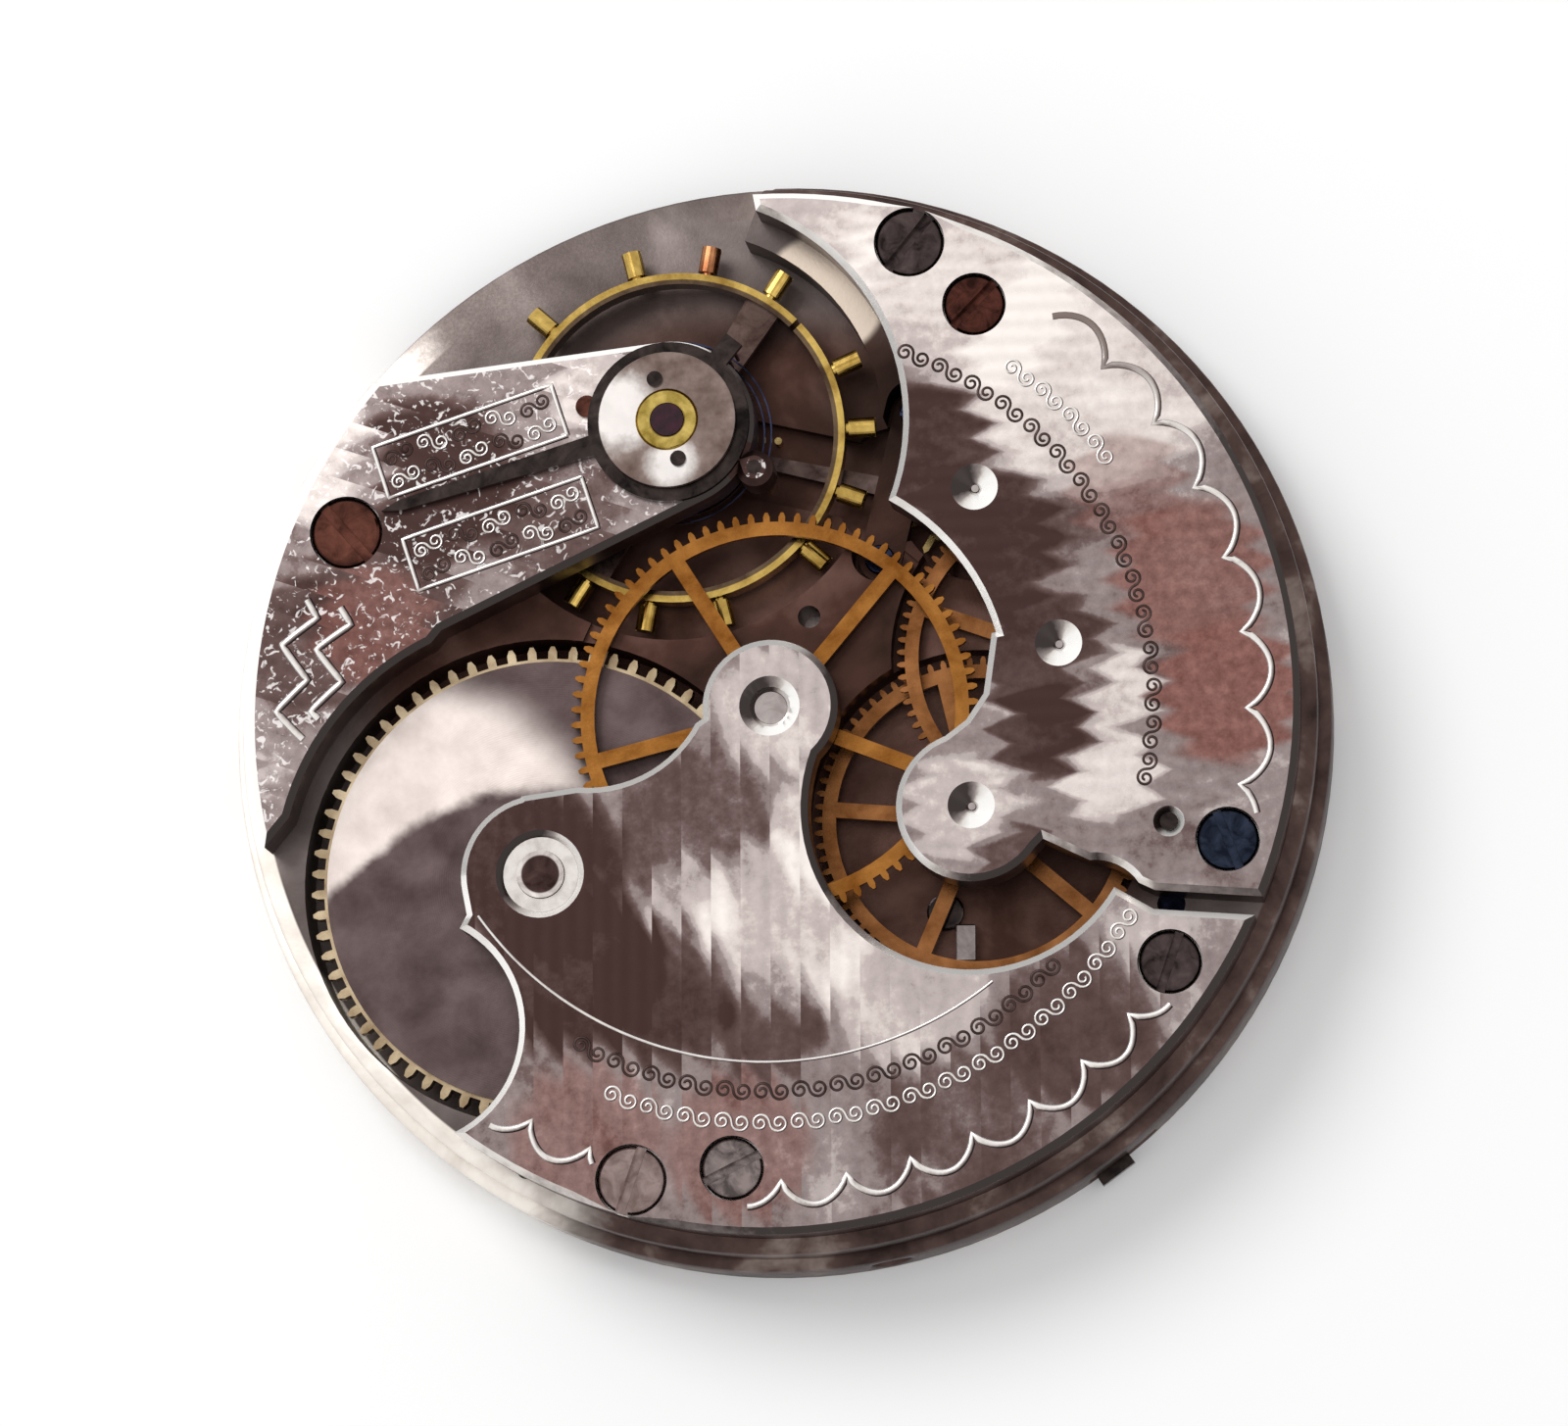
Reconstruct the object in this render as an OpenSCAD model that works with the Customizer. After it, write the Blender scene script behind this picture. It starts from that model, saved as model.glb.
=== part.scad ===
// Pocket watch movement, 16 size, hunting layout with a lever escapement.
// Origin on the centre arbor's axis in the dial seat plane, +Z towards the bridges,
// +X towards the fourth wheel (6 o'clock) and -Y along the winding stem (3 o'clock).

/* [Plate and bridges] */
// Diameter of the dial flange, the widest part
flange_d = 44.2; // [43:0.01:46]
// Height of the dial flange
flange_h = 2.75; // [2.6:0.05:3.3]
// Width of the step from the flange up to the plate's body
flange_step = 0.51; // [0.4:0.01:0.65]
// Width of the step from the plate's body up to the bridges
bridge_step = 0.64; // [0.5:0.01:0.8]
// Depth of the recess on the dial side
dial_recess_h = 1.4; // [1.35:0.01:1.7]
// Width of the ring that the dial sits on
dial_rim_w = 2.7; // [2.5:0.01:2.8]
// Thickness of the plate between the dial recess and the train
web_t = 0.7; // [0.65:0.01:1]
// Height from the train recess to the bridge seats
train_room = 2.4; // [2.4:0.01:2.8]
// Thickness of the bridges
bridge_t = 2; // [1.8:0.05:2.4]
// Depth of the hollow under the bridges
relief_h = 0.5; // [0.48:0.01:0.7]
// Depth of the escapement pocket below the train recess
pocket_h = 0.15; // [0.1:0.01:0.25]
// Room round a wheel in its pocket
pocket_gap = 0.2; // [0.15:0.01:0.26]

/* [Going train] */
// Teeth of the barrel
barrel_teeth = 70; // [69:1:70]
// Leaves of the centre pinion
centre_leaves = 14; // [13:1:14]
// Module of the barrel teeth
barrel_module = 0.268; // [0.265:0.001:0.268]
// Bearing of the barrel from the centre
barrel_bearing = 204.4; // [203:0.1:206]
// Height of the closed barrel
barrel_h = 2; // [1.9:0.01:2.02]
// Teeth of the centre wheel
centre_teeth = 80; // [78:1:81]
// Leaves of the third pinion
third_leaves = 10; // [9:1:11]
// Module of the centre wheel
centre_module = 0.2; // [0.197:0.001:0.201]
// Bearing of the third wheel from the centre
third_bearing = -38.6; // [-40:0.1:-37.5]
// Teeth of the third wheel
third_teeth = 75; // [73:1:75]
// Leaves of the fourth pinion
fourth_leaves = 10; // [9:1:10]
// Module of the third wheel
third_module = 0.172; // [0.17:0.001:0.173]
// Teeth of the fourth wheel
fourth_teeth = 80; // [78:1:80]
// Leaves of the escape pinion
escape_leaves = 8; // [7:1:8]
// Module of the fourth wheel
fourth_module = 0.163; // [0.161:0.001:0.164]
// Bearing of the escape wheel from the fourth wheel
escape_bearing = 106.1; // [105:0.1:107]
// Thickness of the train wheels
wheel_t = 0.3; // [0.24:0.01:0.32]
// Turns of the mainspring
mainspring_turns = 10; // [7:1:10]
// Thickness of the mainspring strip
mainspring_t = 0.18; // [0.12:0.01:0.19]

/* [Escapement] */
// Teeth of the escape wheel
escape_teeth = 15; // [15]
// Radius of the escape wheel over its tips
escape_r = 3; // [2.9:0.01:3.05]
// Thickness of the escape wheel and the pallets
escape_t = 0.25; // [0.2:0.01:0.28]
// Bearing of the balance from the escape wheel
lever_bearing = 155.4; // [155:0.1:156]
// Distance from the pallet arbor to the balance staff
lever_len = 9.1; // [9.05:0.01:9.15]
// Outer diameter of the balance rim
balance_d = 13.6; // [13.4:0.05:13.7]
// Width of the balance rim
rim_w = 0.45; // [0.4:0.01:0.6]
// Height of the balance rim
rim_h = 0.9; // [0.8:0.01:0.95]
// How far the balance screws stand out from the rim
screw_reach = 1.2; // [1:0.01:1.25]
// Radius of the balance screw heads
balance_screw_r = 0.37; // [0.3:0.01:0.39]
// Bearing of the balance arms
arm_bearing = 46; // [40:1:50]
// Radius of the hairspring at its outer end
hairspring_r = 3.9; // [3.85:0.01:3.95]
// Turns of the hairspring
hairspring_turns = 6; // [4:1:6]
// Thickness of the hairspring strip
hairspring_t = 0.07; // [0.05:0.01:0.09]
// Height of the hairspring strip
hairspring_h = 0.25; // [0.15:0.01:0.28]
// Length of the regulator arm from the balance axis
regulator_len = 12.05; // [11:0.05:12.5]
// Bearing of the regulator arm
regulator_bearing = 185; // [183:1:188]

/* [Dial side] */
// Leaves of the cannon pinion
cannon_leaves = 12; // [11:1:12]
// Teeth of the minute wheel
minute_teeth = 36; // [34:1:37]
// Leaves of the minute pinion
minute_leaves = 10; // [10:1:11]
// Teeth of the hour wheel
hour_teeth = 40; // [38:1:41]
// Distance from the centre to the minute wheel
minute_dist = 4.2; // [4.1:0.01:4.3]
// Bearing of the minute wheel from the centre
minute_bearing = 60; // [50:1:70]
// Teeth of the ratchet wheel
ratchet_teeth = 48; // [46:1:48]
// Teeth of the crown wheel
crown_teeth = 40; // [40:1:41]
// Distance of the crown wheel from the centre, along the stem
crown_dist = 12.2; // [12.1:0.01:12.25]
// Leaves of the winding pinion
winding_leaves = 8; // [8]
// Radius of the stem hole
stem_r = 0.8; // [0.6:0.01:0.85]
// Radius of the dial foot holes
foot_r = 0.5; // [0.4:0.01:0.52]

/* [Clearances] */
// Radial play of a pivot in its hole
pivot_gap = 0.02; // [0.015:0.001:0.03]
// Radial play of a seated or pressed piece
seat_gap = 0.005; // [0.003:0.001:0.01]
// Gap between a screw and its hole or counterbore
screw_gap = 0.06; // [0.03:0.01:0.1]

/* [Hidden] */
$fn = 72;
cut = 0.5;
body_d = flange_d - 2 * flange_step;
bridge_d = body_d - 2 * bridge_step;
dial_recess_d = flange_d - 2 * dial_rim_w;

function polar(r, a) = [r * cos(a), r * sin(a)];
function toward(p, q, s) = p + s * (q - p);
function from_rim(inset, bearing) = polar(bridge_d / 2 - inset, bearing);

// Heights
floor_z = dial_recess_h + web_t;
pocket_z = floor_z - pocket_h;
seat_z = floor_z + train_room;
top_z = seat_z + bridge_t;
relief_z = seat_z + relief_h;
axial_gap = 0.15;
barrel_z = floor_z + axial_gap;
barrel_top_z = barrel_z + barrel_h;
centre_z = barrel_top_z + 0.25;
third_z = floor_z + 0.6;
fourth_z = third_z + 0.85;
escape_z = pocket_z + 0.3;
sink_z = floor_z + 0.4;
rim_z = sink_z + 0.55;
arm_t = 0.3;
arm_z = rim_z + (rim_h - arm_t) / 2;
hairspring_z = rim_z + rim_h + 0.15;
cock_under_z = max(seat_z + 0.25, hairspring_z + hairspring_h + 0.3);
pallet_cock_z = escape_z + escape_t + 0.15;
pallet_cock_t = 0.47;
roller_z = escape_z + escape_t + 0.12;
roller_t = 0.25;
boss_z = top_z + 0.4;
end_z = 0.15;

// Gear proportions, in modules and shares of the pitch
wheel_add = 0.85;
wheel_ded = 1.05;
wheel_share = 0.42;
pinion_add = 0.5;
pinion_ded = 1.35;
pinion_share = 0.36;
function tip_r(teeth, module_mm) = module_mm * (teeth / 2 + wheel_add);
function leaf_r(leaves, module_mm) = module_mm * (leaves / 2 + pinion_add);

// Places in plan, worked out from the meshes
barrel_dist = barrel_module * (barrel_teeth + centre_leaves) / 2;
barrel_at = polar(barrel_dist, barrel_bearing);
third_at = polar(centre_module * (centre_teeth + third_leaves) / 2, third_bearing);
fourth_reach = third_module * (third_teeth + fourth_leaves) / 2;
fourth_at = [third_at[0] + sqrt(fourth_reach * fourth_reach - third_at[1] * third_at[1]), 0];
fourth_bearing = atan2(fourth_at[1] - third_at[1], fourth_at[0] - third_at[0]);
escape_at = fourth_at + polar(fourth_module * (fourth_teeth + escape_leaves) / 2, escape_bearing);
pallet_dist = escape_r / cos(30);
pallet_at = escape_at + polar(pallet_dist, lever_bearing);
balance_at = pallet_at + polar(lever_len, lever_bearing);
minute_at = polar(minute_dist, minute_bearing);
crown_at = [0, -crown_dist];

barrel_tip = tip_r(barrel_teeth, barrel_module);
centre_tip = tip_r(centre_teeth, centre_module);
third_tip = tip_r(third_teeth, third_module);
fourth_tip = tip_r(fourth_teeth, fourth_module);
barrel_root = barrel_module * (barrel_teeth / 2 - wheel_ded);
balance_sweep = balance_d / 2 + screw_reach;

// A tooth of the second wheel faces a space of the first, which has a tooth at phase_a
function mesh_phase(bearing, teeth_a, teeth_b, phase_a = 0) =
    bearing + 180 + (bearing - phase_a) * teeth_a / teeth_b + 180 / teeth_b;
barrel_phase = mesh_phase(barrel_bearing, centre_leaves, barrel_teeth);
third_phase = mesh_phase(third_bearing, centre_teeth, third_leaves);
fourth_phase = mesh_phase(fourth_bearing, third_teeth, fourth_leaves);
escape_phase = mesh_phase(escape_bearing, fourth_teeth, escape_leaves);
minute_phase = mesh_phase(minute_bearing, cannon_leaves, minute_teeth);
hour_phase = mesh_phase(minute_bearing + 180, minute_leaves, hour_teeth);
cannon_module = 2 * minute_dist / (cannon_leaves + minute_teeth);
hour_module = 2 * minute_dist / (minute_leaves + hour_teeth);
crown_gap = crown_at - barrel_at;
winding_module = 2 * norm(crown_gap) / (ratchet_teeth + crown_teeth);
crown_phase = -90 + 180 / crown_teeth;
crown_to_ratchet = atan2(-crown_gap[1], -crown_gap[0]);
ratchet_phase = mesh_phase(crown_to_ratchet, crown_teeth, ratchet_teeth, crown_phase);
ratchet_tip = tip_r(ratchet_teeth, winding_module);
crown_tip = tip_r(crown_teeth, winding_module);

// Arbors and pivots
fine_pivot_r = 0.15;
third_arbor_r = 0.42;
fourth_arbor_r = 0.4;
escape_arbor_r = 0.35;
centre_arbor_r = 0.9;
centre_pivot_r = 0.65;
cannon_bore_r = 0.5;
seconds_r = 0.28;
barrel_core_r = 1.7;
barrel_pivot_r = 0.95;
staff_pivot_r = 0.09;
staff_r = 0.42;
collet_r = 0.75;
hub_seat_r = 0.55;

// Balance bearings
jewel_r = 0.7;
jewel_t = 0.3;
cap_r = 2.75;
cap_t = 0.35;
setting_r = 1.24;
endstone_r = 0.66;
boss_r = 2.15;
head_r = 3.4;
endstone_screw_r = 0.32;
endstone_screw_at = 1.7;

// Screws: place, head radius, slot bearing
bridge_screws_at = [from_rim(2.87, 51.7), from_rim(2.02, -28.7), from_rim(2.04, -44.9),
    from_rim(2.54, 254.1)];
bridge_screw_slots = [35, 100, 60, 15];
bridge_head_r = 1.22;
bridge_head_h = 0.8;
cock_screw_at = from_rim(2.34, 145.3);
cock_head_r = 1.42;
case_screw_bearings = [62, 242.5];
case_screw_dist = bridge_d / 2 - 1.4;
case_head_r = 1.36;
head_proud = 0.06;
shank_r = 0.55;
shank_len = 3;
steady_pins_at = [from_rim(4.44, -28.6), from_rim(2.83, 35.8), from_rim(2.06, -65.6),
    from_rim(3.42, 242.9), from_rim(1.87, 159.8), from_rim(1.86, 135.4)];
steady_r = 0.35;
steady_half = 0.8;
pallet_cock_screw_at = 3.1;
pallet_cock_w = 1.7;

// Dial side
crown_z = 0.3;
crown_t = 0.32;
crown_post_r = 1.1;
arbor_square = 1.3;
foot_bearings = [20, 140, 230];
foot_dist = dial_recess_d / 2 + 1.095;
foot_screw_len = flange_d / 2 - foot_dist - foot_r;
foot_screw_z = 1.1;
foot_screw_r = 0.4;
stem_z = 1.45;
winding_r = winding_module * winding_leaves / 2;
winding_tip = winding_r + 0.1;
winding_root = 0.78;
winding_y0 = crown_dist + crown_tip - 0.48;
winding_len = 1;
clutch_r = 0.72;
clutch_len = 1.7;
click_bearing = 120;
click_pivot_dist = ratchet_tip + 1.45;
click_at = barrel_at + polar(click_pivot_dist, click_bearing);
click_t = 0.35;
click_r = 0.95;
spring_foot_r = 0.6;
lever_pivot_at = polar(dial_recess_d / 2 - 1.8, -38);
lever_tip_bearing = -65;
lever_z = 0.45;
lever_t = 0.4;
lever_proud = 0.45;
lever_pivot_r = 0.6;
post_r = 0.45;
minute_z = 1.1;
minute_t = 0.2;
hour_z = 0.74;
hour_t = 0.22;
cannon_pipe_r = 0.82;
hour_pipe_r = 1.2;

// Outline of the bridges in plan: bosses, scallops and the slot between the two bridges
barrel_boss_r = 3.2;
centre_boss_r = 2.7;
third_boss_r = 3;
third_window_r = 6.5;
balance_window_r = 9.38;
centre_window_at = [0.3, 0.3];
centre_window_r = 9.1;
left_scallop_at = [-6.7, 3];
left_scallop_r = 4.75;
rim_scallop_at = [-16.7, -9.6];
rim_scallop_r = 4.55;
slot_scallop_at = [10.9, -10.8];
slot_scallop_r = 2.1;
slot_from = [13.2, -11.15];
slot_bearing = -15.7;
slot_w = 0.75;
slot_to = slot_from + polar(flange_d, slot_bearing);
slot_rise = polar(slot_w, slot_bearing + 90);
barrel_clear_r = 10.45;
low_from = 80;
low_to = 128.5;
low_reach = 2.4;

// Shapes that repeat
module at(p) translate([p[0], p[1], 0]) children();

module post(r, z0, z1) translate([0, 0, z0]) cylinder(r = r, h = z1 - z0);

module slab(points, z0, z1) translate([0, 0, z0]) linear_extrude(z1 - z0) polygon(points);

module ring(r_out, r_in, z0, z1) difference() {
    post(r_out, z0, z1);
    post(r_in, z0 - cut, z1 + cut);
}

// Points of a toothed outline, six for each tooth
function toothed(teeth, module_mm, add, ded, share, phase) = [
    for (i = [0 : teeth - 1])
        for (q = [[-ded, -0.52 * share], [0, -0.5 * share], [add, -0.2 * share],
                  [add, 0.2 * share], [0, 0.5 * share], [-ded, 0.52 * share]])
            polar(module_mm * (teeth / 2 + q[0]), phase + (i + q[1]) * 360 / teeth)];

module toothed_disc(teeth, module_mm, phase, z0, z1)
    slab(toothed(teeth, module_mm, wheel_add, wheel_ded, wheel_share, phase), z0, z1);

module leaves(count, module_mm, phase, z0, z1)
    slab(toothed(count, module_mm, pinion_add, pinion_ded, pinion_share, phase), z0, z1);

// A train wheel crossed out to thin spokes
module spoked_wheel(teeth, module_mm, phase, z0, spokes, spoke_phase, bore_r) {
    rim_in = module_mm * (teeth / 2 - wheel_ded) - 0.55;
    hub_r = bore_r + 0.65;
    spoke_w = 0.62;
    difference() {
        union() {
            difference() {
                toothed_disc(teeth, module_mm, phase, z0, z0 + wheel_t);
                post(rim_in, z0 - cut, z0 + wheel_t + cut);
            }
            post(hub_r, z0, z0 + wheel_t);
            for (i = [0 : spokes - 1])
                rotate(spoke_phase + i * 360 / spokes)
                    translate([hub_r - 0.2, -spoke_w / 2, z0])
                        cube([rim_in - hub_r + 0.4, spoke_w, wheel_t]);
        }
        post(bore_r, z0 - cut, z0 + wheel_t + cut);
    }
}

// A screw with a chamfered, slotted head; z is the underside of its head
module screw(head_r, head_h, r, len, z, slot) {
    chamfer = head_h / 5;
    difference() {
        union() {
            post(head_r, z, z + head_h - chamfer);
            translate([0, 0, z + head_h - chamfer])
                cylinder(r1 = head_r, r2 = head_r - chamfer, h = chamfer);
            post(r, z - len, z);
        }
        rotate(slot)
            translate([-head_r - cut, -head_r / 7, z + head_h * 0.6])
                cube([2 * head_r + 2 * cut, head_r / 3.5, head_h]);
    }
}

// A pivot hole through a bridge with a polished oil sink on top
module oil_sink(r) {
    post(r + pivot_gap, floor_z, top_z + cut);
    translate([0, 0, top_z - 0.45]) cylinder(r1 = r + pivot_gap, r2 = 0.95, h = 0.46);
}

module bridge_disc() post(bridge_d / 2, seat_z, top_z);

module bridge_slab(points) intersection() {
    bridge_disc();
    slab(points, seat_z - cut, top_z + cut);
}

module through(r) post(r, seat_z - cut, top_z + cut);

module bridge_screw_holes(indices) for (i = indices) at(bridge_screws_at[i]) {
    through(shank_r + screw_gap);
    post(bridge_head_r + screw_gap, top_z + head_proud - bridge_head_h, top_z + cut);
}

module case_screw_hole(i) at(polar(case_screw_dist, case_screw_bearings[i])) {
    through(shank_r + screw_gap);
    post(case_head_r + screw_gap, top_z + head_proud - bridge_head_h, top_z + cut);
}

module steady_holes() for (p = steady_pins_at) at(p)
    post(steady_r + seat_gap, seat_z - steady_half - seat_gap, seat_z + steady_half + seat_gap);

// Hollow under the bridges for the centre wheel and the third pinion
module wheel_relief() {
    post(centre_tip + 2 * pocket_gap, seat_z - cut, relief_z);
    at(third_at) post(leaf_r(third_leaves, centre_module) + 2 * pocket_gap, seat_z - cut, relief_z);
}

// Frame
module pocket(p, r, z) at(p) post(r, z, top_z + cut);

module train_pockets() {
    pocket(barrel_at, barrel_tip + pocket_gap, floor_z);
    pocket([0, 0], centre_tip + pocket_gap, centre_z - pocket_gap);
    pocket([0, 0], leaf_r(centre_leaves, barrel_module) + pocket_gap, floor_z);
    pocket(third_at, third_tip + pocket_gap, floor_z);
    pocket(fourth_at, fourth_tip + pocket_gap, fourth_z - pocket_gap);
    pocket(fourth_at, leaf_r(fourth_leaves, third_module) + 2 * pocket_gap, floor_z);
    pocket(escape_at, escape_r + pocket_gap, pocket_z);
}

module escapement_pockets() {
    lever_room = 3.2;
    pocket(pallet_at, 2.6, pocket_z);
    pocket(balance_at, 2.2, pocket_z);
    pocket(balance_at, balance_sweep + 2 * pocket_gap, sink_z);
    at(pallet_at) rotate(lever_bearing) {
        translate([0, -lever_room / 2, pocket_z]) cube([lever_len, lever_room, top_z]);
        for (s = [-1, 1]) translate([0, s * pallet_cock_screw_at, 0])
            post(pallet_cock_w / 2 + pocket_gap, pallet_cock_z, top_z);
        translate([-pallet_cock_w / 2 - pocket_gap, -pallet_cock_screw_at, pallet_cock_z])
            cube([pallet_cock_w + 2 * pocket_gap, 2 * pallet_cock_screw_at, top_z]);
    }
    slab([balance_at, toward(balance_at, polar(body_d / 2, low_from), low_reach),
          toward(balance_at, polar(body_d / 2, low_to), low_reach)], sink_z, top_z);
}

module web_hole(p, r) at(p) post(r + pivot_gap, -cut, top_z);

module winding_room() {
    room = winding_tip + pocket_gap;
    translate([-room, -winding_y0 - winding_len - pocket_gap, -cut])
        cube([2 * room, winding_len + clutch_len + 1.4, stem_z + room + cut]);
    translate([0, -crown_dist, stem_z]) rotate([90, 0, 0]) cylinder(r = stem_r, h = flange_d);
}

// Room in the dial recess for the winding wheels, the click and its spring
module ratchet_room() {
    at(barrel_at) post(ratchet_tip + pocket_gap, -cut, dial_recess_h);
    at(crown_at) post(crown_tip + pocket_gap, -cut, dial_recess_h);
    hull() {
        at(click_back) post(2 * pocket_gap, -cut, dial_recess_h);
        at(click_at) post(click_r + pocket_gap, -cut, dial_recess_h);
        at(spring_foot_at) post(spring_foot_r + pocket_gap, -cut, dial_recess_h);
    }
}

module lever_slot() {
    slot_low = -1.05;
    slot_high = 2.2;
    rotate(lever_tip_bearing)
        translate([dial_recess_d / 2 - 1, slot_low, lever_z - 2 * pivot_gap])
            cube([flange_d, slot_high - slot_low, lever_t + 4 * pivot_gap]);
}

module main_plate() color([0.72, 0.71, 0.69]) difference() {
    union() {
        post(flange_d / 2, 0, flange_h);
        post(body_d / 2, flange_h, seat_z);
    }
    post(dial_recess_d / 2, -cut, dial_recess_h);
    train_pockets();
    escapement_pockets();
    ratchet_room();
    winding_room();
    lever_slot();
    steady_holes();
    web_hole(barrel_at, barrel_pivot_r);
    web_hole([0, 0], centre_pivot_r);
    web_hole(third_at, fine_pivot_r);
    web_hole(fourth_at, seconds_r);
    web_hole(escape_at, fine_pivot_r);
    web_hole(pallet_at, fine_pivot_r);
    web_hole(balance_at, staff_pivot_r * 2);
    at(balance_at) post(jewel_r + seat_gap, dial_recess_h + 0.1, dial_recess_h + 0.1 + jewel_t);
    at(balance_at) post(endstone_r, dial_recess_h - cut, dial_recess_h + 0.11);
    web_hole(minute_at, post_r - pivot_gap + seat_gap);
    web_hole(crown_at, shank_r - pivot_gap + seat_gap);
    web_hole(click_at, shank_r - pivot_gap + seat_gap);
    web_hole(lever_pivot_at, shank_r - pivot_gap + seat_gap);
    for (s = [-1, 1]) at(pallet_at) rotate(lever_bearing) translate([0, s * pallet_cock_screw_at, 0])
        post(0.3 + screw_gap, floor_z - web_t / 2, top_z);
    for (s = [-1, 1]) banking_place(s) post(0.15 + seat_gap, pocket_z - 0.3, top_z);
    for (p = concat(bridge_screws_at, [cock_screw_at])) at(p)
        post(shank_r + screw_gap, seat_z - shank_len, top_z);
    for (a = case_screw_bearings) at(polar(case_screw_dist, a))
        post(shank_r + screw_gap, seat_z - shank_len, top_z);
    for (a = foot_bearings) {
        at(polar(foot_dist, a)) post(foot_r, -cut, seat_z + cut);
        foot_screw_place(a) post(foot_screw_r + seat_gap, -foot_screw_len - 0.05, cut);
    }
}

module barrel_bridge() color([0.75, 0.74, 0.72]) difference() {
    union() {
        difference() {
            bridge_slab([[-13.45, -4.6], [-10.4, -1.4], [-7, -1.6], [-2, 0.4], [0, 0], [2.2, -1.4],
                slot_from, slot_to, [flange_d, -flange_d], [-flange_d / 2, -flange_d],
                rim_scallop_at, [-13.45, -5.6]]);
            at(left_scallop_at) through(left_scallop_r);
            at(rim_scallop_at) through(rim_scallop_r);
            at(third_at) through(third_window_r);
        }
        at(barrel_at) post(barrel_boss_r, seat_z, top_z);
        post(centre_boss_r, seat_z, top_z);
    }
    wheel_relief();
    steady_holes();
    bridge_screw_holes([2, 3]);
    case_screw_hole(1);
    at(barrel_at) {
        through(barrel_pivot_r + pivot_gap);
        post(1.5, top_z - 0.25, top_z + cut);
    }
    oil_sink(centre_pivot_r);
}

module train_bridge() color([0.75, 0.74, 0.72]) difference() {
    union() {
        difference() {
            bridge_slab([[3.4, flange_d], [flange_d, flange_d], slot_to + slot_rise,
                slot_from + slot_rise, third_at, centre_window_at, [3.4, 9]]);
            at(balance_at) through(balance_window_r);
            at(centre_window_at) through(centre_window_r);
        }
        at(third_at) post(third_boss_r, seat_z, top_z);
        slab([third_at + polar(third_boss_r, 132), [7.5, -2.2], [8.4, -1.3], [9.2, 1], [10.5, 1],
            third_at + polar(6, 5), third_at + polar(third_boss_r, -65)], seat_z, top_z);
    }
    at(slot_scallop_at) through(slot_scallop_r);
    wheel_relief();
    steady_holes();
    at(steady_pins_at[0]) through(steady_r + seat_gap);
    bridge_screw_holes([0, 1]);
    case_screw_hole(0);
    for (p = [third_at, fourth_at, escape_at]) at(p) oil_sink(fine_pivot_r);
}

stud_at = balance_at + polar(hairspring_r, 320);
stud_r = 0.28;

module balance_cock() color([0.75, 0.74, 0.72]) difference() {
    union() {
        difference() {
            bridge_slab([[-flange_d / 2, -2.2], [-12.3, 5.9], balance_at + polar(head_r, -77),
                balance_at + polar(head_r, 85), [-12.8, 16.45], [-flange_d / 2, 20]]);
            at(barrel_at) through(barrel_clear_r);
        }
        at(balance_at) post(head_r, seat_z, top_z);
        at(balance_at) post(boss_r, top_z, boss_z);
        at(stud_at) post(stud_r + 0.45, seat_z, top_z);
    }
    at(balance_at) {
        post(balance_sweep + 2 * pocket_gap, seat_z - cut, cock_under_z);
        through(staff_r + 0.1);
        post(jewel_r + seat_gap, boss_z - 0.35 - jewel_t, boss_z + cut);
        post(setting_r + seat_gap, boss_z - 0.35, boss_z + cut);
        endstone_screw_places() post(0.16 + seat_gap, boss_z - 0.7, boss_z + cut);
    }
    at(stud_at) through(stud_r + seat_gap);
    steady_holes();
    at(cock_screw_at) {
        through(shank_r + screw_gap);
        post(cock_head_r + screw_gap, top_z + head_proud - bridge_head_h, top_z + cut);
    }
}

module pallet_cock() color([0.74, 0.73, 0.7]) at(pallet_at) rotate(lever_bearing) difference() {
    union() {
        translate([-pallet_cock_w / 2, -pallet_cock_screw_at, pallet_cock_z])
            cube([pallet_cock_w, 2 * pallet_cock_screw_at, pallet_cock_t]);
        for (s = [-1, 1]) translate([0, s * pallet_cock_screw_at, 0])
            post(pallet_cock_w / 2, pallet_cock_z, pallet_cock_z + pallet_cock_t);
    }
    post(fine_pivot_r + pivot_gap, pallet_cock_z - cut, top_z);
    for (s = [-1, 1]) translate([0, s * pallet_cock_screw_at, 0])
        post(0.3 + screw_gap, pallet_cock_z - cut, top_z);
}

module bridge_screws() color([0.16, 0.17, 0.24]) for (i = [0 : 3]) at(bridge_screws_at[i])
    screw(bridge_head_r, bridge_head_h, shank_r, shank_len, top_z + head_proud - bridge_head_h,
        bridge_screw_slots[i]);

module cock_screw() color([0.35, 0.2, 0.15]) at(cock_screw_at)
    screw(cock_head_r, bridge_head_h, shank_r, shank_len, top_z + head_proud - bridge_head_h, 120);

module case_screws() color([0.5, 0.5, 0.52]) for (i = [0, 1])
    at(polar(case_screw_dist, case_screw_bearings[i]))
        screw(case_head_r, bridge_head_h, shank_r, shank_len, top_z + head_proud - bridge_head_h, 40 + 20 * i);

module pallet_cock_screws() color([0.2, 0.2, 0.26]) at(pallet_at) rotate(lever_bearing)
    for (s = [-1, 1]) translate([0, s * pallet_cock_screw_at, 0])
        screw(0.6, 0.3, 0.3, 1.2, pallet_cock_z + pallet_cock_t, 20);

module steady_pins() color([0.45, 0.44, 0.44]) for (i = [0 : 5]) at(steady_pins_at[i])
    post(steady_r, seat_z - steady_half, i == 0 ? top_z : seat_z + steady_half);

module banking_place(s) at(pallet_at) rotate(lever_bearing)
    translate([lever_len * 0.58, s * 0.95, 0]) children();

module banking_pins() color([0.7, 0.6, 0.35]) for (s = [-1, 1]) banking_place(s)
    post(0.15, pocket_z - 0.3, escape_z + escape_t + 0.03);

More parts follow.
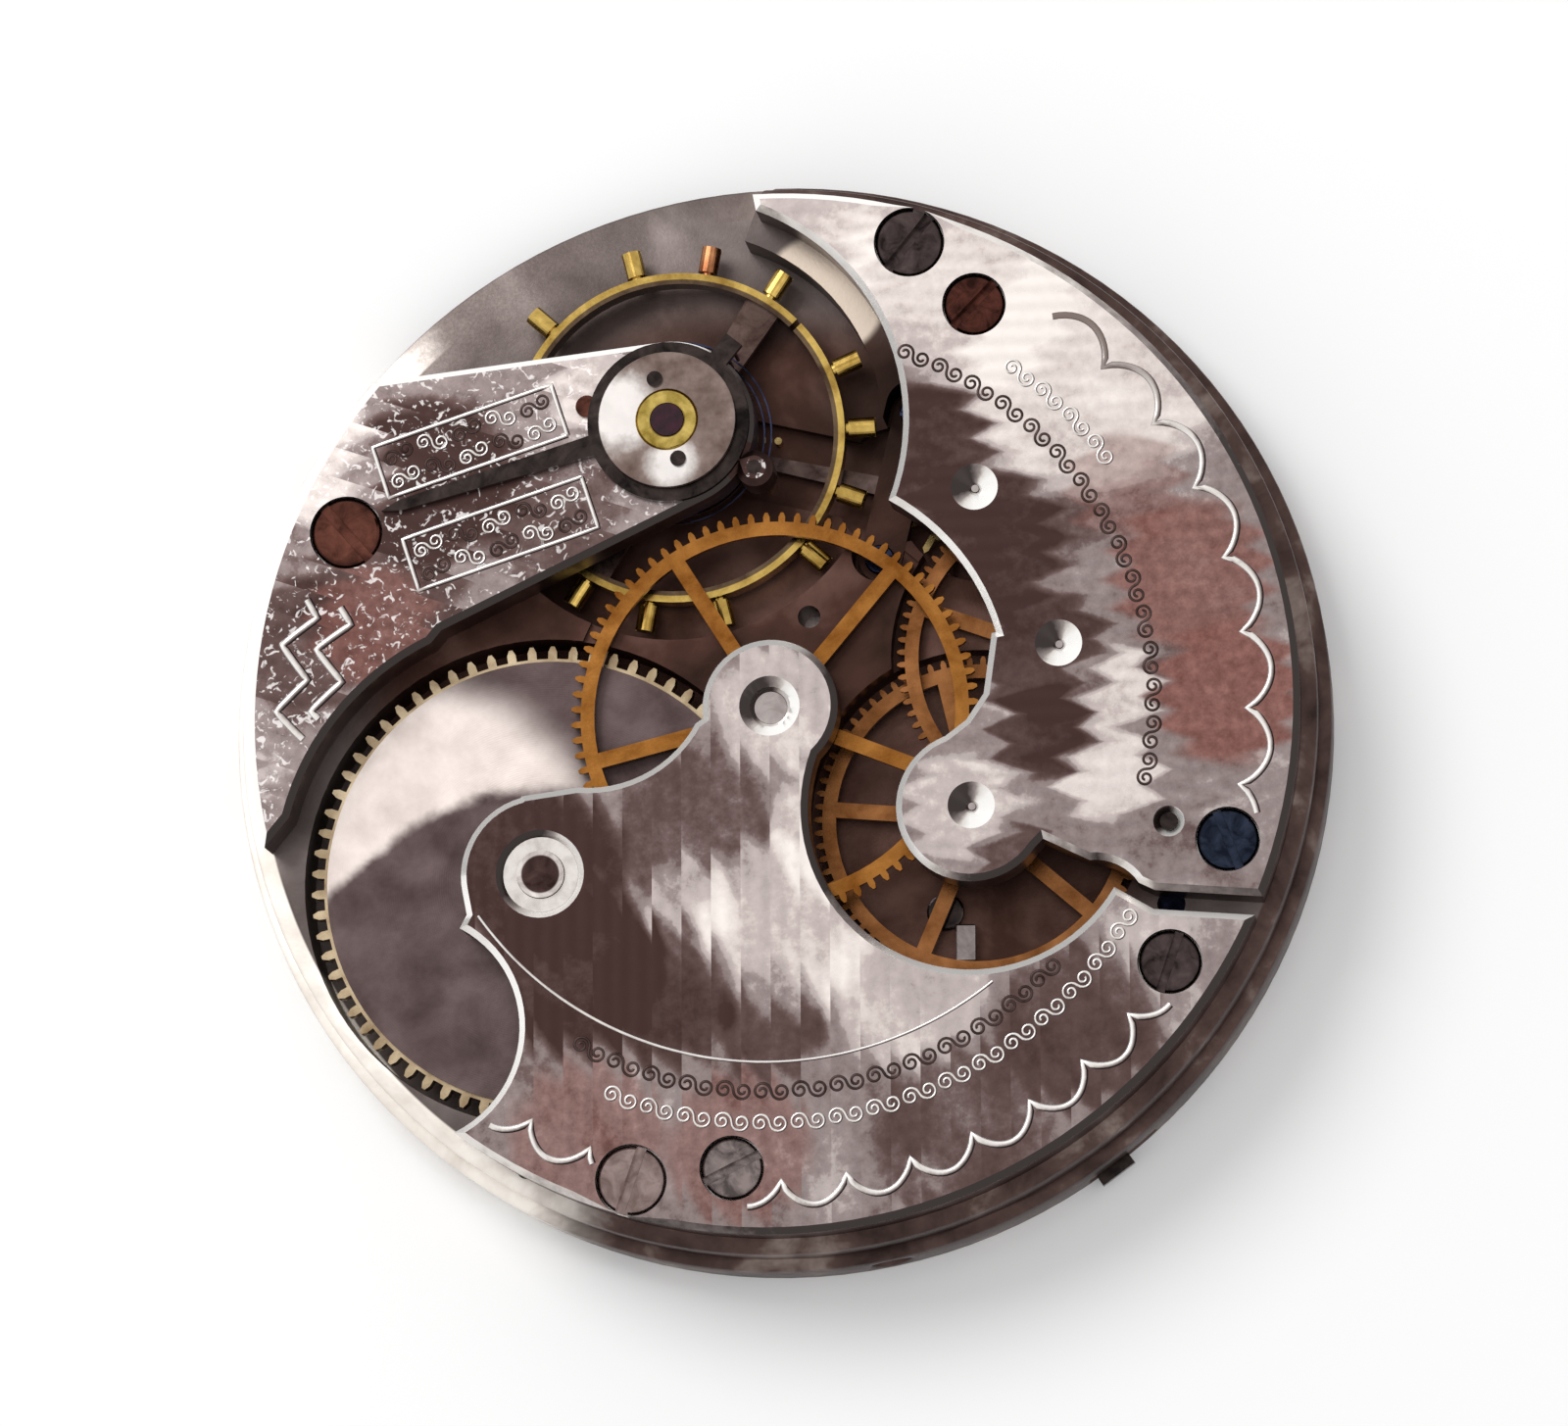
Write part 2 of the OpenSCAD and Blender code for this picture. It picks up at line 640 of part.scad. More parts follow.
// Balance bearings
module endstone_screw_places() for (a = [95, 275]) rotate(a) translate([endstone_screw_at, 0, 0]) children();

module endstone_cap() color([0.8, 0.79, 0.77]) at(balance_at) difference() {
    post(cap_r, boss_z, boss_z + cap_t);
    post(setting_r + seat_gap, boss_z - cut, boss_z + cap_t + cut);
    endstone_screw_places() post(0.16 + screw_gap, boss_z - cut, boss_z + cap_t + cut);
}

module endstone_screws() color([0.2, 0.2, 0.26]) at(balance_at) endstone_screw_places()
    screw(endstone_screw_r, 0.16, 0.16, cap_t + 0.6, boss_z + cap_t, 30);

module endstone_setting() color([0.82, 0.66, 0.28]) at(balance_at)
    ring(setting_r, endstone_r + seat_gap, boss_z - 0.35, boss_z + cap_t);

module upper_endstone() color([0.35, 0.05, 0.15]) at(balance_at)
    post(endstone_r, boss_z - 0.3, boss_z + cap_t - 0.05);

module upper_hole_jewel() color([0.5, 0.06, 0.18]) at(balance_at)
    ring(jewel_r, staff_pivot_r + pivot_gap, boss_z - 0.35 - jewel_t, boss_z - 0.35);

module lower_hole_jewel() color([0.5, 0.06, 0.18]) at(balance_at)
    ring(jewel_r, staff_pivot_r + pivot_gap, dial_recess_h + 0.1, dial_recess_h + 0.1 + jewel_t);

module lower_endstone() color([0.5, 0.06, 0.18]) at(balance_at)
    post(endstone_r - seat_gap, dial_recess_h - 0.3, dial_recess_h);

module lower_endstone_plate() color([0.7, 0.7, 0.7]) at(balance_at) difference() {
    post(2, dial_recess_h - 0.4, dial_recess_h);
    post(endstone_r, dial_recess_h - 0.3, dial_recess_h + cut);
}

module hairspring_stud() color([0.5, 0.5, 0.52]) at(stud_at) difference() {
    post(stud_r, hairspring_z - 0.1, top_z);
    rotate(320) translate([-hairspring_t / 2 - 2 * pivot_gap, -1, hairspring_z - 1])
        cube([hairspring_t + 4 * pivot_gap, 2, hairspring_h + 1.05]);
}

// Dial side fixings
module minute_wheel_post() color([0.5, 0.5, 0.52]) at(minute_at) post(post_r, hour_z - 0.1, floor_z - 0.1);

module foot_screw_place(a) rotate(a) translate([flange_d / 2, 0, foot_screw_z])
    rotate([0, 90, 0]) children();

module dial_foot_screws() color([0.3, 0.3, 0.34]) for (a = foot_bearings) foot_screw_place(a) difference() {
    post(foot_screw_r, -foot_screw_len + 0.05, -0.05);
    translate([-1, -0.06, -0.2]) cube([2, 0.12, 1]);
}

// A flat headed shoulder screw under the plate, head towards the dial
module shoulder_screw(p, head, shoulder_r, z0, head_h) color([0.22, 0.22, 0.28]) at(p) difference() {
    union() {
        post(head, z0, z0 + head_h);
        post(shoulder_r, z0, dial_recess_h);
        post(shank_r, z0, floor_z - 0.05);
    }
    rotate(35) translate([-3, -0.12, z0 - cut]) cube([6, 0.24, cut + head_h / 2]);
}

module crown_wheel_screw() shoulder_screw(crown_at, 1.9, crown_post_r, 0.08, 0.16);

module dial_side_screws() {
    shoulder_screw(click_at, 0.9, shank_r, crown_z - 0.2, 0.15);
    shoulder_screw(lever_pivot_at, 1.1, lever_pivot_r, 0.1, 0.2);
}

click_nose = barrel_at + polar(ratchet_tip + 0.12, click_bearing + 20);
click_back = barrel_at + polar(ratchet_tip + 2.5, click_bearing + 12);
spring_foot_at = barrel_at + polar(ratchet_tip + 1.9, click_bearing + 30);

module click_spring() color([0.45, 0.46, 0.5]) {
    spring_w = 0.22;
    reach = click_back - spring_foot_at;
    at(spring_foot_at) {
        post(spring_foot_r, crown_z, dial_recess_h);
        rotate(atan2(reach[1], reach[0])) translate([0, -spring_w / 2, crown_z])
            cube([norm(reach) - 0.35, spring_w, click_t]);
    }
}

// Barrel
module barrel_drum() color([0.72, 0.62, 0.4]) at(barrel_at) {
    cover_z = barrel_top_z - 0.2;
    wall_r = barrel_root - 0.1;
    difference() {
        union() {
            post(wall_r, barrel_z, cover_z);
            toothed_disc(barrel_teeth, barrel_module, barrel_phase, cover_z - 0.65, cover_z);
        }
        post(wall_r - 0.55, barrel_z + 0.3, cover_z + cut);
        post(barrel_pivot_r + pivot_gap, barrel_z - cut, cover_z);
    }
}

module barrel_cover() color([0.76, 0.75, 0.73]) at(barrel_at)
    ring(barrel_root - 0.15, barrel_pivot_r + pivot_gap, barrel_top_z - 0.2, barrel_top_z);

// A flat spiral strip from r0 to r1, its outer end at the bearing
function spiral(r0, r1, turns, bearing, steps, off) = [
    for (i = [0 : turns * steps])
        let (s = i / (turns * steps))
            polar(r0 + (r1 - r0) * s + off, bearing + 360 * turns * (1 - s))];
function back(points) = [for (i = [len(points) - 1 : -1 : 0]) points[i]];

module spiral_strip(r0, r1, turns, bearing, t, z0, h) slab(
    concat(spiral(r0, r1, turns, bearing, 24, t / 2), back(spiral(r0, r1, turns, bearing, 24, -t / 2))),
    z0, z0 + h);

// Least gap between neighbouring turns, measured between the points of both faces
function turn_gap(r0, r1, turns, t) =
    let (steps = 24,
         outer_face = spiral(r0, r1, turns, 0, steps, t / 2),
         inner_face = spiral(r0, r1, turns, 0, steps, -t / 2))
    min([for (i = [0 : (turns - 1) * steps]) norm(inner_face[i + steps] - outer_face[i])]);

mainspring_in = barrel_core_r + mainspring_t / 2 + 0.05;
mainspring_out = barrel_root - 0.65 - mainspring_t / 2 - seat_gap;
hairspring_in = collet_r + hairspring_t / 2 + seat_gap;
echo(mainspring_gap = turn_gap(mainspring_in, mainspring_out, mainspring_turns, mainspring_t));
echo(hairspring_gap = turn_gap(hairspring_in, hairspring_r, hairspring_turns, hairspring_t));

module mainspring() color([0.4, 0.42, 0.46]) at(barrel_at)
    spiral_strip(mainspring_in, mainspring_out, mainspring_turns, 90, mainspring_t,
        barrel_z + 0.4, barrel_h - 0.75);

module barrel_arbor() color([0.55, 0.55, 0.57]) at(barrel_at) {
    post(barrel_core_r, barrel_z + 0.38, barrel_top_z - 0.28);
    post(barrel_pivot_r, dial_recess_h, top_z - 0.1);
    translate([-arbor_square / 2, -arbor_square / 2, crown_z])
        cube([arbor_square, arbor_square, dial_recess_h - crown_z]);
}

module ratchet_wheel() color([0.62, 0.62, 0.63]) at(barrel_at) difference() {
    toothed_disc(ratchet_teeth, winding_module, ratchet_phase, crown_z, crown_z + crown_t);
    hole = arbor_square + 2 * seat_gap;
    translate([-hole / 2, -hole / 2, crown_z - cut]) cube([hole, hole, crown_t + 2 * cut]);
}

module ratchet_screw() color([0.22, 0.22, 0.28]) at(barrel_at) difference() {
    post(1.4, 0.1, crown_z);
    rotate(70) translate([-3, -0.12, 0.1 - cut]) cube([6, 0.24, cut + 0.1]);
}

// Train wheels and pinions
module centre_wheel() color([0.78, 0.5, 0.24])
    spoked_wheel(centre_teeth, centre_module, 0, centre_z, 5, 39, centre_arbor_r + seat_gap);

module centre_pinion() color([0.55, 0.55, 0.57]) {
    leaves(centre_leaves, barrel_module, 0, centre_z - 1.1, centre_z - 0.08);
    post(centre_arbor_r, floor_z + axial_gap, centre_z + wheel_t);
    post(centre_pivot_r, dial_recess_h - 0.02, top_z - 0.5);
    post(cannon_bore_r, end_z + 0.2, floor_z);
}

module cannon_pinion() color([0.6, 0.6, 0.62]) difference() {
    union() {
        leaves(cannon_leaves, cannon_module, 0, minute_z - 0.05, minute_z + minute_t + 0.05);
        post(cannon_pipe_r, end_z, minute_z + minute_t);
    }
    post(cannon_bore_r + seat_gap, -cut, dial_recess_h);
}

module third_wheel() color([0.72, 0.42, 0.2]) at(third_at)
    spoked_wheel(third_teeth, third_module, 0, third_z, 5, 20, third_arbor_r + seat_gap);

module third_pinion() color([0.55, 0.55, 0.57]) at(third_at) {
    leaves(third_leaves, centre_module, third_phase, centre_z - 0.12, relief_z - 0.08);
    post(third_arbor_r, floor_z + axial_gap, relief_z - 0.08);
    post(fine_pivot_r, dial_recess_h + 0.1, top_z - 0.35);
}

module fourth_wheel() color([0.76, 0.47, 0.22]) at(fourth_at)
    spoked_wheel(fourth_teeth, fourth_module, 0, fourth_z, 5, 5, fourth_arbor_r + seat_gap);

module fourth_pinion() color([0.55, 0.55, 0.57]) at(fourth_at) {
    leaves(fourth_leaves, third_module, fourth_phase, third_z - 0.2, third_z + wheel_t + 0.25);
    post(fourth_arbor_r, floor_z + axial_gap, seat_z - 0.1);
    post(fine_pivot_r, floor_z, top_z - 0.35);
    post(seconds_r, end_z, floor_z + axial_gap);
}

// Club teeth lean forward with a flat impulse face
module escape_wheel() color([0.7, 0.6, 0.38]) at(escape_at) {
    step = 360 / escape_teeth;
    rim_r = escape_r * 0.72;
    outline = [for (i = [0 : escape_teeth - 1]) for (q = [
        [rim_r, 0], [escape_r * 0.97, 0.42], [escape_r, 0.6], [escape_r * 0.93, 0.62], [rim_r, 0.34]])
            polar(q[0], (i + q[1]) * step)];
    difference() {
        union() {
            difference() {
                slab(outline, escape_z, escape_z + escape_t);
                post(rim_r - 0.4, escape_z - cut, escape_z + 1);
            }
            post(0.8, escape_z, escape_z + escape_t);
            for (i = [0 : 3]) rotate(i * 90)
                translate([0.6, -0.16, escape_z]) cube([rim_r - 0.7, 0.32, escape_t]);
        }
        post(escape_arbor_r + seat_gap, escape_z - cut, escape_z + 1);
    }
}

module escape_pinion() color([0.55, 0.55, 0.57]) at(escape_at) {
    leaves(escape_leaves, fourth_module, escape_phase, fourth_z - 0.2, fourth_z + wheel_t + 0.25);
    post(escape_arbor_r, pocket_z + axial_gap, seat_z - 0.1);
    post(fine_pivot_r, dial_recess_h + 0.1, top_z - 0.35);
}

// Pallets: the stones stand back from the escape wheel so that it can turn by itself
stone_back = 0.3;
stone_len = 0.8;
stone_w = 0.32;
stone_tip = [escape_r * cos(30) - pallet_dist, escape_r * sin(30)];

module stone_place(s) at([stone_tip[0], s * stone_tip[1]]) rotate(s * 30) translate([stone_back, 0, 0]) children();

module stone(grow) translate([0, -stone_w / 2 - grow, escape_z - grow])
    cube([stone_len, stone_w + 2 * grow, escape_t + 2 * grow]);

fork_len = lever_len - 1.3;

module pallet_fork() color([0.62, 0.62, 0.64]) at(pallet_at) rotate(lever_bearing) difference() {
    union() {
        post(0.4, escape_z, escape_z + escape_t);
        slab([[0, -0.4], [fork_len - 1.2, -0.24], [fork_len - 0.5, -0.62], [fork_len + 0.25, -0.62],
            [fork_len + 0.25, 0.62], [fork_len - 0.5, 0.62], [fork_len - 1.2, 0.24], [0, 0.4]],
            escape_z, escape_z + escape_t);
        for (s = [-1, 1]) {
            rotate(s * 97) translate([0, -0.35, escape_z]) cube([1.9, 0.7, escape_t]);
            stone_place(s) translate([0.28, -0.36, escape_z]) cube([0.72, 0.72, escape_t]);
        }
    }
    translate([fork_len - 0.3, -0.23, escape_z - cut]) cube([1, 0.46, 2]);
    post(0.25 + seat_gap, escape_z - cut, escape_z + 1);
    for (s = [-1, 1]) stone_place(s) stone(seat_gap);
}

module pallet_stones() color([0.6, 0.08, 0.2]) at(pallet_at) rotate(lever_bearing)
    for (s = [-1, 1]) stone_place(s) stone(0);

module pallet_arbor() color([0.6, 0.6, 0.62]) at(pallet_at) {
    post(0.25, pocket_z + 0.08, pallet_cock_z - 0.06);
    post(fine_pivot_r, dial_recess_h + 0.1, pallet_cock_z + pallet_cock_t - 0.05);
}

// Balance
screw_seat = rim_w - 0.12;
balance_screw_bearings = [for (half = [0, 180]) for (a = [-55, -34, 0, 23, 47, 81, 103]) arm_bearing + half + a];

module balance_wheel() color([0.8, 0.66, 0.32]) at(balance_at) difference() {
    rim_in = balance_d / 2 - rim_w;
    union() {
        ring(balance_d / 2, rim_in, rim_z, rim_z + rim_h);
        post(1.3, arm_z, arm_z + arm_t);
        rotate(arm_bearing) slab([[-rim_in - 0.1, -0.75], [0, -0.45], [rim_in + 0.1, -0.75],
            [rim_in + 0.1, 0.75], [0, 0.45], [-rim_in - 0.1, 0.75]], arm_z, arm_z + arm_t);
    }
    post(hub_seat_r + seat_gap, arm_z - cut, arm_z + 1);
    for (a = [0, 180]) rotate(arm_bearing + a - 14)
        translate([rim_in - cut, -0.12, rim_z - cut]) cube([rim_w + 2 * cut, 0.24, rim_h + 2 * cut]);
    for (a = balance_screw_bearings) balance_screw_place(a) post(0.18 + seat_gap, -screw_seat, cut);
}

module balance_screw_place(a) rotate(a) translate([balance_d / 2, 0, rim_z + rim_h / 2]) rotate([0, 90, 0]) children();

module balance_screws() color([0.83, 0.7, 0.34]) at(balance_at) for (a = balance_screw_bearings)
    balance_screw_place(a) difference() {
        union() {
            post(balance_screw_r, 0.01, screw_reach);
            post(0.18, -screw_seat + 0.05, 0.1);
        }
        translate([-0.06, -1, screw_reach - 0.2]) cube([0.12, 2, 1]);
    }

module balance_staff() color([0.6, 0.6, 0.62]) at(balance_at) {
    post(staff_pivot_r, dial_recess_h + 0.03, boss_z - 0.33);
    post(staff_r, pocket_z + 0.1, arm_z - 0.2);
    post(1.1, arm_z - 0.2, arm_z);
    post(hub_seat_r, arm_z, arm_z + arm_t);
    post(staff_r, arm_z, boss_z - 1.2);
}

roller_r = 1.55;
jewel_pin_r = 0.2;
jewel_pin_at = roller_r - 0.3;

module roller_turn() rotate(lever_bearing + 180) children();

module impulse_roller() color([0.6, 0.6, 0.62]) at(balance_at) roller_turn() difference() {
    post(roller_r, roller_z, roller_z + roller_t);
    post(staff_r + seat_gap, roller_z - cut, roller_z + 1);
    translate([jewel_pin_at, 0, 0]) post(jewel_pin_r + seat_gap, roller_z - cut, roller_z + 1);
}

// The impulse jewel stops just above the fork so that the balance can swing past it
module impulse_jewel() color([0.6, 0.08, 0.2]) at(balance_at) roller_turn() translate([jewel_pin_at, 0, 0])
    post(jewel_pin_r, escape_z + escape_t + 0.05, roller_z + roller_t);

module hairspring_collet() color([0.72, 0.6, 0.3]) at(balance_at) difference() {
    ring(collet_r, staff_r + seat_gap, hairspring_z - 0.08, hairspring_z + hairspring_h + 0.1);
    rotate(200) translate([0, -0.04, hairspring_z - cut]) cube([2, 0.08, 2]);
}

module hairspring() color([0.2, 0.22, 0.35]) at(balance_at)
    spiral_strip(hairspring_in, hairspring_r, hairspring_turns, 320, hairspring_t, hairspring_z, hairspring_h);

// Regulator: the tail carries two curb pins beside the outer turn of the hairspring
tail_bearing = 40;
curb_r = hairspring_r - (hairspring_r - hairspring_in) / hairspring_turns * (tail_bearing + 40) / 360;
curb_pin_r = 0.08;
curb_half = 0.19;
regulator_t = 0.3;

module regulator() color([0.2, 0.19, 0.22]) at(balance_at) {
    z0 = top_z + 0.04;
    ring_r = head_r - 0.15;
    difference() {
        union() {
            post(ring_r, z0, z0 + regulator_t);
            rotate(regulator_bearing) slab([[ring_r - 0.5, -0.42], [regulator_len - 0.8, -0.22],
                [regulator_len, 0], [regulator_len - 0.8, 0.22], [ring_r - 0.5, 0.42]], z0, z0 + regulator_t);
            rotate(tail_bearing) translate([ring_r - 0.5, -0.4, z0])
                cube([curb_r + 0.45 - ring_r + 0.5, 0.8, regulator_t]);
        }
        post(boss_r + pivot_gap, z0 - cut, z0 + 1);
    }
    rotate(tail_bearing) for (s = [-1, 1]) translate([curb_r + s * curb_half, 0, 0])
        post(curb_pin_r, hairspring_z - 0.05, z0 + regulator_t / 2);
}

// Motion work
module minute_wheel() color([0.74, 0.56, 0.28]) at(minute_at) difference() {
    union() {
        toothed_disc(minute_teeth, cannon_module, minute_phase, minute_z, minute_z + minute_t);
        leaves(minute_leaves, hour_module, 0, hour_z - 0.04, minute_z);
    }
    post(post_r + pivot_gap, -cut, dial_recess_h);
}

module hour_wheel() color([0.76, 0.58, 0.3]) difference() {
    union() {
        toothed_disc(hour_teeth, hour_module, hour_phase, hour_z, hour_z + hour_t);
        post(hour_pipe_r, end_z, hour_z + hour_t);
    }
    post(cannon_pipe_r + pivot_gap, -cut, dial_recess_h);
}

// Winding and setting
module crown_wheel() color([0.62, 0.62, 0.63]) at(crown_at) difference() {
    toothed_disc(crown_teeth, winding_module, crown_phase, crown_z, crown_z + crown_t);
    post(crown_post_r + pivot_gap, -cut, dial_recess_h);
}

module on_stem(y) translate([0, -y, stem_z]) rotate([90, 0, 0]) children();

module winding_pinion() color([0.76, 0.6, 0.3]) on_stem(winding_y0) difference() {
    blade = 0.3;
    union() {
        post(winding_root, 0, winding_len);
        for (i = [0 : winding_leaves - 1]) rotate(-90 + i * 360 / winding_leaves)
            translate([0, -blade / 2, 0]) cube([winding_tip, blade, winding_len]);
    }
    translate([-0.45, -0.45, -cut]) cube([0.9, 0.9, winding_len + 2 * cut]);
}

module clutch_sleeve() color([0.6, 0.6, 0.62]) on_stem(winding_y0 - clutch_len - 0.12) difference() {
    post(clutch_r, 0, clutch_len);
    ring(clutch_r + cut, clutch_r - 0.16, 0.5, 0.85);
    translate([-0.4, -0.4, -cut]) cube([0.8, 0.8, clutch_len + 2 * cut]);
}

module click() color([0.55, 0.55, 0.57]) difference() {
    union() {
        at(click_at) post(click_r, crown_z, crown_z + click_t);
        slab([click_at + polar(0.85, click_bearing + 180), click_nose,
            barrel_at + polar(ratchet_tip + 0.6, click_bearing + 20), click_back,
            click_at + polar(0.85, click_bearing)], crown_z, crown_z + click_t);
    }
    at(click_at) post(shank_r + pivot_gap, -cut, dial_recess_h);
}

// The thumb lever swings out through a slot in the flange to set the hands
lever_tip_at = polar(flange_d / 2 + lever_proud, lever_tip_bearing);
lever_bend_at = polar(dial_recess_d / 2 - 2.2, lever_tip_bearing + 2);

module setting_lever() color([0.12, 0.12, 0.13]) difference() {
    union() {
        at(lever_pivot_at) post(1.1, lever_z, lever_z + lever_t);
        slab([lever_pivot_at + polar(1, -38), polar(dial_recess_d / 2 - 1.5, lever_tip_bearing + 6),
            polar(dial_recess_d / 2 - 0.9, lever_tip_bearing + 2.5),
            polar(flange_d / 2 + lever_proud, lever_tip_bearing + 2),
            polar(flange_d / 2 + lever_proud, lever_tip_bearing - 2), lever_bend_at + polar(1, 195),
            lever_pivot_at + polar(1, 142)], lever_z, lever_z + lever_t);
    }
    at(lever_pivot_at) post(lever_pivot_r + pivot_gap, -cut, dial_recess_h);
}

main_plate();
barrel_bridge();
train_bridge();
balance_cock();
pallet_cock();
bridge_screws();
cock_screw();
case_screws();
pallet_cock_screws();
steady_pins();
banking_pins();
endstone_cap();
endstone_screws();
endstone_setting();
upper_endstone();
upper_hole_jewel();
lower_hole_jewel();
lower_endstone();
lower_endstone_plate();
hairspring_stud();
minute_wheel_post();
dial_foot_screws();
crown_wheel_screw();
dial_side_screws();
click_spring();
barrel_drum();
barrel_cover();
mainspring();
barrel_arbor();
ratchet_wheel();
ratchet_screw();
centre_wheel();
centre_pinion();
cannon_pinion();
third_wheel();
third_pinion();
fourth_wheel();
fourth_pinion();
escape_wheel();
escape_pinion();
pallet_fork();
pallet_arbor();
pallet_stones();
balance_wheel();
balance_screws();
balance_staff();
impulse_roller();
impulse_jewel();
hairspring_collet();
hairspring();
regulator();
minute_wheel();
hour_wheel();
crown_wheel();
winding_pinion();
clutch_sleeve();
click();
setting_lever();
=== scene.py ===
# Pocket watch movement, seen from the bridge side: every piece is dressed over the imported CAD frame.
# Lengths are in metres; the sections follow the order in which a watchmaker puts the movement together.
import math
from collections import namedtuple

import bmesh
import bpy
from mathutils import Matrix, Vector
from mathutils.bvhtree import BVHTree


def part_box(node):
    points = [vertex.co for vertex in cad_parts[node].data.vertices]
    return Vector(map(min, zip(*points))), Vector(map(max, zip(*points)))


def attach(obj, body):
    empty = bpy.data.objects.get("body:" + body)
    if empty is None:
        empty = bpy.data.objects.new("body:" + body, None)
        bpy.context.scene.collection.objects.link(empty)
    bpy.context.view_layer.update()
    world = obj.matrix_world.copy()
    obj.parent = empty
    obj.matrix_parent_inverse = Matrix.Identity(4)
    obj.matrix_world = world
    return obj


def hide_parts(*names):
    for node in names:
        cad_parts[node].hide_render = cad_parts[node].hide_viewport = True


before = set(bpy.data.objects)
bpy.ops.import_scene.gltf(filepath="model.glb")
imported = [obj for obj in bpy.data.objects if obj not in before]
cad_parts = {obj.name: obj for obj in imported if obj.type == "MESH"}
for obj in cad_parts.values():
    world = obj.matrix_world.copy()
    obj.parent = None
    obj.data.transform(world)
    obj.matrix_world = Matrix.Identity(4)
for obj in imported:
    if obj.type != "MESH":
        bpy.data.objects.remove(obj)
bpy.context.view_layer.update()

mm = 0.001

# Main plate: one disc of nickelled brass, turned and then milled out for the barrel, the wheels and the
# balance. Its rim is stepped where the case band grips it, and each step has a polished edge.
RIM_FROM = 21.2 * mm
RIM_BEVEL = 0.12 * mm
TURNED_FROM = 20.9
WELD = 3e-6
SLIVER = 2e-6
FLAT_ANGLE = math.radians(0.6)
CORNER_ANGLE = math.radians(50)
SHARP_ANGLE = math.radians(28)
WALL_SLOPE = 0.3
TOP_SLOPE = 0.97
TOP_FINISH, EDGE_FINISH, WALL_FINISH = 0, 1, 2
Place = namedtuple("Place", "point x y z radius bearing")


def add_node(tree, kind, links=(), **settings):
    """One node of a tree, its properties set and its inputs linked or given plain values."""
    node = tree.nodes.new(kind)
    for key, value in settings.items():
        setattr(node, key, value)
    for label, value in links:
        if isinstance(value, bpy.types.NodeSocket):
            tree.links.new(value, node.inputs[label])
        else:
            node.inputs[label].default_value = value
    return node


def calc(tree, op, a, b=0.0, c=0.0):
    """One math node; its inputs are sockets or plain numbers."""
    return add_node(tree, "ShaderNodeMath", ((0, a), (1, b), (2, c)), operation=op).outputs[0]


def times(tree, a, b):
    """Product of two values."""
    return calc(tree, "MULTIPLY", a, b)


def plus(tree, a, b):
    """Sum of two values."""
    return calc(tree, "ADD", a, b)


def spread(tree, value, span, base):
    """A value stretched to a span and set on a base."""
    return calc(tree, "MULTIPLY_ADD", value, span, base)


def distance(tree, x, y):
    """How far x and y lie from nought."""
    return calc(tree, "SQRT", plus(tree, times(tree, x, x), times(tree, y, y)))


def new_finish(name, metal, roughness):
    """A material with a principled shader, ready to be given its colour and relief."""
    finish = bpy.data.materials.new(name)
    finish.use_nodes = True
    shader = finish.node_tree.nodes["Principled BSDF"]
    shader.inputs["Metallic"].default_value = metal
    shader.inputs["Roughness"].default_value = roughness
    return finish, finish.node_tree, shader


def place_mm(tree, centre=(0.0, 0.0)):
    """Where a point of the piece lies, in millimetres from a centre."""
    where = add_node(tree, "ShaderNodeTexCoord")
    shift = add_node(tree, "ShaderNodeMapping", (("Vector", where.outputs["Object"]),
                     ("Location", (-centre[0], -centre[1], 0)), ("Scale", (1000, 1000, 1000))))
    parts = add_node(tree, "ShaderNodeSeparateXYZ", ((0, shift.outputs[0]),))
    x, y, z = parts.outputs
    return Place(shift.outputs[0], x, y, z, distance(tree, x, y), calc(tree, "ARCTAN2", y, x))


def mottle(tree, point, scale, detail, rough, warp=0.0):
    """Soft uneven patches, such as tarnish or handling leaves."""
    noise = add_node(tree, "ShaderNodeTexNoise", (("Vector", point), ("Scale", scale), ("Detail", detail),
                     ("Roughness", rough), ("Distortion", warp)))
    return noise.outputs["Fac"]


def shades(tree, value, *stops):
    """Colours along a value; each stop is a position and a colour."""
    ramp = add_node(tree, "ShaderNodeValToRGB", ((0, value),))
    while len(ramp.color_ramp.elements) < len(stops):
        ramp.color_ramp.elements.new(0.5)
    for element, (at, colour) in zip(ramp.color_ramp.elements, stops):
        element.position = at
        element.color = (*colour, 1.0)
    return ramp.outputs["Color"]


def blend_colour(tree, share, low, high):
    """Mix of two colours, each a socket or three numbers."""
    low, high = ((*colour, 1.0) if isinstance(colour, tuple) else colour for colour in (low, high))
    return add_node(tree, "ShaderNodeMix", ((0, share), (6, low), (7, high)), data_type="RGBA").outputs[2]


def band(tree, value, low, high):
    """0 below low, 1 above high, smooth between them."""
    step = add_node(tree, "ShaderNodeMapRange", (("Value", value), ("From Min", low), ("From Max", high)),
                    interpolation_type="SMOOTHSTEP")
    return step.outputs[0]


def patch(tree, x, y, at, reach):
    """1 at a place on the plate, falling to 0 at the reach around it; all in millimetres."""
    away = distance(tree, calc(tree, "SUBTRACT", x, at[0]), calc(tree, "SUBTRACT", y, at[1]))
    return calc(tree, "SUBTRACT", 1.0, band(tree, away, 0.25 * reach, reach))


def relief(tree, shader, height, depth, strength=1.0):
    """Fine relief on the surface, in metres."""
    bump = add_node(tree, "ShaderNodeBump", (("Height", height), ("Distance", depth), ("Strength", strength)))
    tree.links.new(bump.outputs[0], shader.inputs["Normal"])


def coat(tree, shader, colour, wear, span, base):
    """Give the shader its colour, and a roughness that follows the wear."""
    tree.links.new(colour, shader.inputs["Base Color"])
    tree.links.new(spread(tree, wear, span, base), shader.inputs["Roughness"])


